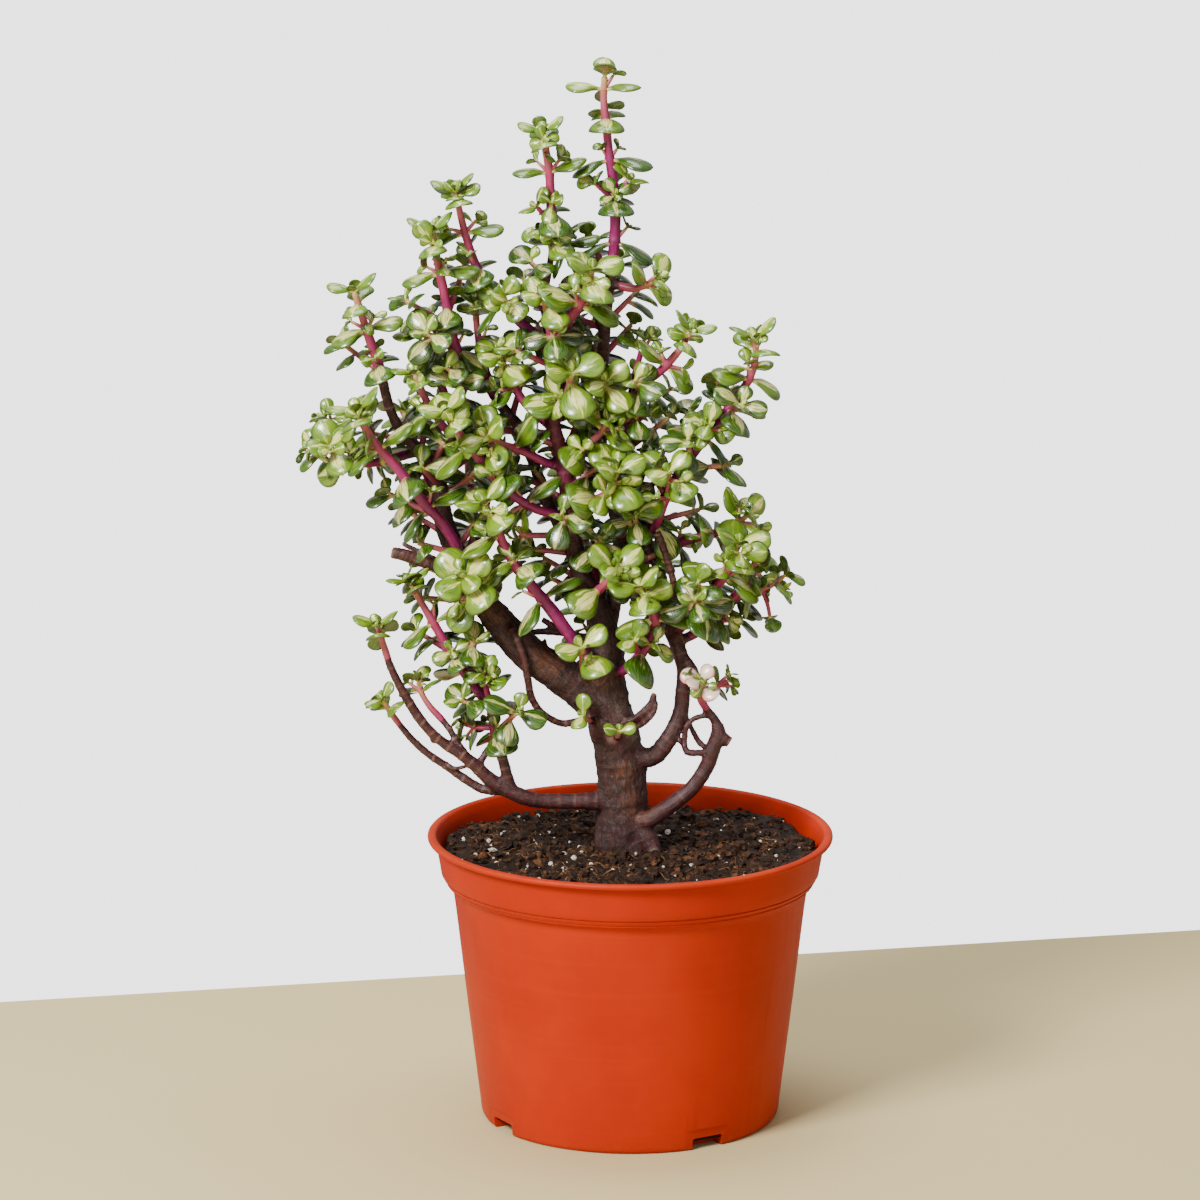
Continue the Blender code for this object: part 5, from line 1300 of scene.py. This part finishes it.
def leafSkin():
    n = Nodes("leafSkin")
    s, w, top = n.split(n.stored("leafMap"))
    seed, age, kind = n.split(n.stored("leafMood"))
    side = n.maths("ABSOLUTE", w)
    offset = n.triple(n.times(seed, 91.0), n.times(seed, 37.0), seed)
    streakPlace = n.shift(n.triple(n.times(w, 4.2), n.times(s, 1.5), top), offset)
    feather = n.grain(streakPlace, 1.0, 4, 0.62, 0.25)
    finePlace = n.shift(n.triple(n.times(w, 13.0), n.times(s, 2.6), top), offset)
    lines = n.grain(finePlace, 1.0, 3, 0.6, 0.3)
    patch = n.grain(n.shift(n.triple(w, n.times(s, 2.0), top), offset), 1.3, 2, 0.5)
    # green from young to old
    young = n.blend(n.fade(patch, 0.35, 0.65), colour(84, 122, 10), colour(118, 148, 22))
    grown = n.blend(n.fade(patch, 0.35, 0.65), colour(38, 72, 6), colour(60, 96, 12))
    old = n.blend(n.fade(patch, 0.35, 0.65), colour(22, 45, 7), colour(38, 64, 11))
    green = n.blend(n.fade(age, 0.02, 0.34), young, grown)
    green = n.blend(n.fade(age, 0.42, 0.95), green, old)
    green = n.blend(n.times(n.fade(lines, 0.48, 0.66), 0.35), green, colour(132, 164, 44))
    green = n.blend(n.times(n.fade(side, 0.72, 0.97), 0.45), green, colour(26, 62, 8))
    # cream flame along the middle
    reach = n.fade(n.maths("FRACT", n.times(seed, 7.31)), 0.0, 1.0, 0.04, 0.40)
    taper = n.times(n.fade(s, 0.06, 0.34), n.fade(s, 1.02, 0.62))
    width = n.times(reach, n.maths("ADD", n.times(taper, 0.9), 0.1))
    away = n.maths("SUBTRACT", side, n.times(n.maths("SUBTRACT", feather, 0.5), 1.25))
    flame = n.fade(away, n.maths("ADD", width, 0.10), n.maths("SUBTRACT", width, 0.07))
    flame = n.times(flame, n.fade(lines, 0.34, 0.56, 0.42, 1.0))
    cream = n.blend(n.fade(age, 0.05, 0.8), colour(222, 225, 112), colour(184, 172, 108))
    cream = n.blend(n.fade(lines, 0.4, 0.7), cream, colour(232, 231, 160))
    upper = n.blend(n.times(flame, n.fade(age, 0.2, 1.0, 0.97, 0.78)), green, cream)
    # plain olive underneath
    under = n.blend(n.fade(patch, 0.35, 0.65), colour(50, 80, 12), colour(74, 102, 20))
    under = n.blend(n.fade(age, 0.4, 1.0), under, colour(36, 58, 12))
    under = n.blend(n.times(flame, 0.3), under, colour(140, 150, 84))
    base = n.blend(n.fade(top, -0.05, 0.3), under, upper)
    stalk = n.blend(n.fade(age, 0.1, 0.8), colour(206, 204, 110), colour(186, 150, 96))
    base = n.blend(n.fade(s, 0.27, 0.12), base, stalk)
    pinkRim = n.blend(n.fade(side, 0.55, 0.95), colour(240, 214, 196), colour(222, 138, 142))
    pinkRim = n.blend(n.times(n.fade(patch, 0.5, 0.64), 0.25), pinkRim, colour(206, 196, 132))
    base = n.blend(kind, base, pinkRim)
    n.shade("Base Color", base)
    n.shade("Roughness", n.fade(lines, 0.3, 0.7, 0.24, 0.38))
    n.shade("Specular IOR Level", 0.62)
    n.shade("Coat Weight", 0.75)
    n.shade("Coat Roughness", 0.09)
    n.shade("Normal", n.bump(n.maths("ADD", lines, feather), 0.00016, 0.55))
    return n.skin


def stemSkin():
    n = Nodes("stemSkin")
    fromTip, fromNode = n.split(n.stored("stemMap"))[:2]
    place = n.where()
    skinLines = n.grain(n.stretch(place, (900, 900, 260)), 1.0, 3, 0.6)
    cloud = n.grain(place, 120, 3, 0.6)
    tip = n.blend(n.fade(fromTip, 0, 7), colour(182, 150, 92), colour(176, 94, 98))
    base = n.blend(n.fade(fromTip, 5, 18), tip, colour(150, 40, 84))
    base = n.blend(n.fade(fromTip, 16, 38), base, colour(122, 6, 82))
    base = n.blend(n.fade(fromTip, 55, 100), base, colour(84, 6, 50))
    base = n.blend(n.times(n.fade(cloud, 0.45, 0.68), 0.3), base, colour(164, 44, 98))
    base = n.blend(n.times(n.fade(skinLines, 0.5, 0.72), 0.22), base, colour(192, 90, 108))
    dark = n.blend(n.fade(fromTip, 10, 45), colour(150, 84, 56), colour(92, 28, 44))
    base = n.blend(n.times(n.fade(fromNode, 0.55, 0.1), 0.75), base, dark)
    n.shade("Base Color", base)
    n.shade("Roughness", n.fade(skinLines, 0.3, 0.7, 0.34, 0.5))
    n.shade("Specular IOR Level", 0.5)
    n.shade("Normal", n.bump(skinLines, 0.00012, 0.6))
    return n.skin


def leafDepth(full, body, pastWidest):
    petiole = leafFine["petiole"] * 0.75
    return full * body if pastWidest else petiole + (full - petiole) * min(1.0, body * 1.4)


def fineLeaf(build, info, draw, small=False, kind=0.0):
    along, above, across = leafAxes(info["heading"], info["out"], info["pitch"], info["yaw"])
    length = info["length"]
    rings = leafFine["smallRings"] if small else leafFine["rings"]
    around = leafFine["smallRound"] if small else leafFine["round"]
    widest = leafFine["widest"] + draw.uniform(-0.03, 0.03)
    half = leafFine["half"] * draw.uniform(0.93, 1.0)
    stalk = min(0.3, (info["radius"] * (1 + leafRule["foot"]) + 0.6) / length)
    lean = draw.uniform(-0.05, 0.05)
    curl = draw.uniform(-0.3, 0.3)
    wave = draw.uniform(0, 6.28)
    seed = draw.random()
    start = len(build["verts"])
    for i in range(rings):
        t = i / (rings - 1)
        t = 1 - (1 - t) ** 1.35 if t > 0.5 else t * (1 - 0.5 ** 1.35) / 0.5
        t = min(t, 0.9985)
        if t < widest:
            rise = max(0.0, (t - stalk * 0.6) / (widest - stalk * 0.6))
            rise = rise * rise * (3 - 2 * rise)
            wide = leafFine["petiole"] + (half - leafFine["petiole"]) * rise ** 0.72
            body = rise
        else:
            fall = (t - widest) / (1 - widest)
            wide = half * math.sqrt(max(0.0, 1 - fall ** 2.15))
            body = math.sqrt(max(0.0, 1 - fall ** 3.0))
        high = leafDepth(leafFine["thick"], body, t > widest) * length
        low = leafDepth(leafFine["thin"], body, t > widest) * length
        twist = curl * t * 0.5
        for j in range(around):
            angle = 2 * math.pi * j / around
            c, q = math.cos(angle), math.sin(angle)
            x = wide * length * math.copysign(abs(c) ** 0.86, c)
            z = (high if q > 0 else low) * math.copysign(abs(q) ** 0.9, q)
            share = x / length
            sink = leafRule["recurve"] * t * t + leafRule["cupping"] * (share / 0.4) ** 2 * 0.9
            sink += 0.006 * math.sin(wave + t * 5 + c * 2)
            x, z = x * math.cos(twist) - z * math.sin(twist), z * math.cos(twist) + x * math.sin(twist)
            spot = (info["foot"] + along * (t * length) + across * (x + lean * t * t * length)
                    + above * (z - sink * length))
            build["verts"].append(spot * mm)
            build["leafMap"].append((t, c, q))
            build["leafMood"].append((seed, info["age"], kind))
            build["stemMap"].append((0.0, stemFine["farFromLeaf"], 0.0))
    faces = ringFaces(start, rings - 1, around, turned=True)
    faces.append(tuple(start + j for j in range(around)))
    faces.append(tuple(start + (rings - 1) * around + j for j in reversed(range(around))))
    addFaces(build, faces, 0)


def emptyBuild():
    return dict(verts=[], faces=[], skinOf=[], leafMap=[], leafMood=[], stemMap=[])


def addFaces(build, faces, skin):  # 0 is leaf and 1 is stem
    build["faces"] += faces
    build["skinOf"] += [skin] * len(faces)


def noLeaf(build, count):  # stems carry no leaf values
    build["leafMap"] += [(0.0, 0.0, 0.0)] * count
    build["leafMood"] += [(0.0, 0.0, 0.0)] * count


def fineStem(build, route, start, marks, seed, arm):
    begin = 0.0 if arm else max(0.0, start - stemFine["sunk"])

    def swell(mark, angle, radius):
        near = min([abs(mark - m) for m in marks] + [stemFine["farFromLeaf"]])
        tipFade = min(1.0, max(0.25, (route.length + 0.8 - mark) / 1.6))
        lump = 1 + stemFine["flare"] * math.exp(-(near / 1.2) ** 2) + 0.03 * math.sin(angle * 2 + mark * 0.4 + seed)
        sunk = 0.93 if not arm and mark < start + 0.4 else 1.0
        return radius * lump * tipFade * sunk

    verts, faces, frames = tube(route, begin, route.length + 0.01, stemFine["sides"], stemFine["step"], swell)
    base = len(build["verts"])
    build["verts"] += [v * mm for v in verts]
    for ring in frames:
        near = min([abs(ring[0] - m) for m in marks] + [stemFine["farFromLeaf"]])
        toTip = route.length - ring[0] + (stemFine["armOffset"] if arm else 0)
        noLeaf(build, stemFine["sides"])
        build["stemMap"] += [(toTip, near, 0.0)] * stemFine["sides"]
    addFaces(build, [tuple(base + i for i in face) for face in faces], 1)


def stalkTube(build, base, tip, radius):
    heading = (tip - base).normalized()
    side = heading.orthogonal().normalized()
    other = heading.cross(side)
    start = len(build["verts"])
    length = (tip - base).length
    rows, sides = stalkFine["rows"], stalkFine["sides"]
    for k in range(rows + 1):
        share = k / rows
        for j in range(sides):
            angle = 2 * math.pi * j / sides
            reach = radius * (stalkFine["foot"] - stalkFine["taper"] * share)
            spot = base + heading * length * share + reach * (math.cos(angle) * side + math.sin(angle) * other)
            build["verts"].append(spot * mm)
            build["stemMap"].append(((1 - share) * stalkFine["toTip"], stemFine["farFromLeaf"], 0.0))
        noLeaf(build, sides)
    addFaces(build, ringFaces(start, rows, sides) + [tuple(start + rows * sides + j for j in range(sides))], 1)


# One short stalk with its leaves and a pair of buds
def growSprig(build, side, look, draw):
    stalkTube(build, side["base"], side["tip"], look["radius"])
    for info in side["leaves"]:
        fineLeaf(build, info, draw, small=look["small"])
    for half in (0, 180):
        info = dict(foot=side["tip"] - side["heading"] * 0.3, heading=side["heading"],
                    out=outward(side["heading"], half + 45), pitch=look["budPitch"], yaw=0,
                    length=side["full"] * draw.uniform(*look["buds"]), radius=0.3, age=0.0)
        fineLeaf(build, info, draw, small=True)


def makeShoots():
    skins = [leafSkin(), stemSkin()]
    total = 0
    for order, (name, found) in enumerate(stems.items()):
        draw = random.Random(500 + order)
        build = emptyBuild()
        own = leaves[name]
        for which, (route, start, shape) in enumerate(found):
            marks = sorted({info["mark"] for info in own if info["stem"] == which})
            fineStem(build, route, start, marks, order * 0.7 + which, which > 0)
            place, heading = route.at(route.length)[:2]
            turn = shape["turn"] + 90 + draw.uniform(-10, 10)
            for half in (0, 180):
                length = shape["full"] * draw.uniform(*leafFine["budSizes"])
                info = dict(foot=place - heading * 0.5, heading=heading, out=outward(heading, turn + half),
                            pitch=draw.uniform(60, 72), yaw=0, length=length, radius=0.4, age=0.0)
                fineLeaf(build, info, draw, small=True)
        for info in own:
            pink = 1.0 if name == "pink_tipped" and info["pair"] < 2 and info["stem"] == 0 else 0.0
            fineLeaf(build, info, draw, kind=pink)
        for side in axils[name]:
            growSprig(build, side, axilLook, draw)
        made = addMesh("shoot." + name, build["verts"], build["faces"],
                       maps={key: build[key] for key in ("leafMap", "leafMood", "stemMap")},
                       skins=skins, skinOf=build["skinOf"])
        total += len(build["faces"])
        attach(made, "root")
        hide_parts("shoot_" + name)
    draw = random.Random(3)
    build = emptyBuild()
    for side in fill:
        growSprig(build, side, fillLook, draw)
    made = addMesh("crownSprigs", build["verts"], build["faces"],
                   maps={key: build[key] for key in ("leafMap", "leafMood", "stemMap")}, skins=skins,
                   skinOf=build["skinOf"])
    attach(made, "root")
    print("shoots made:", total + len(build["faces"]), "faces")


makeShoots()

print("all pieces made")
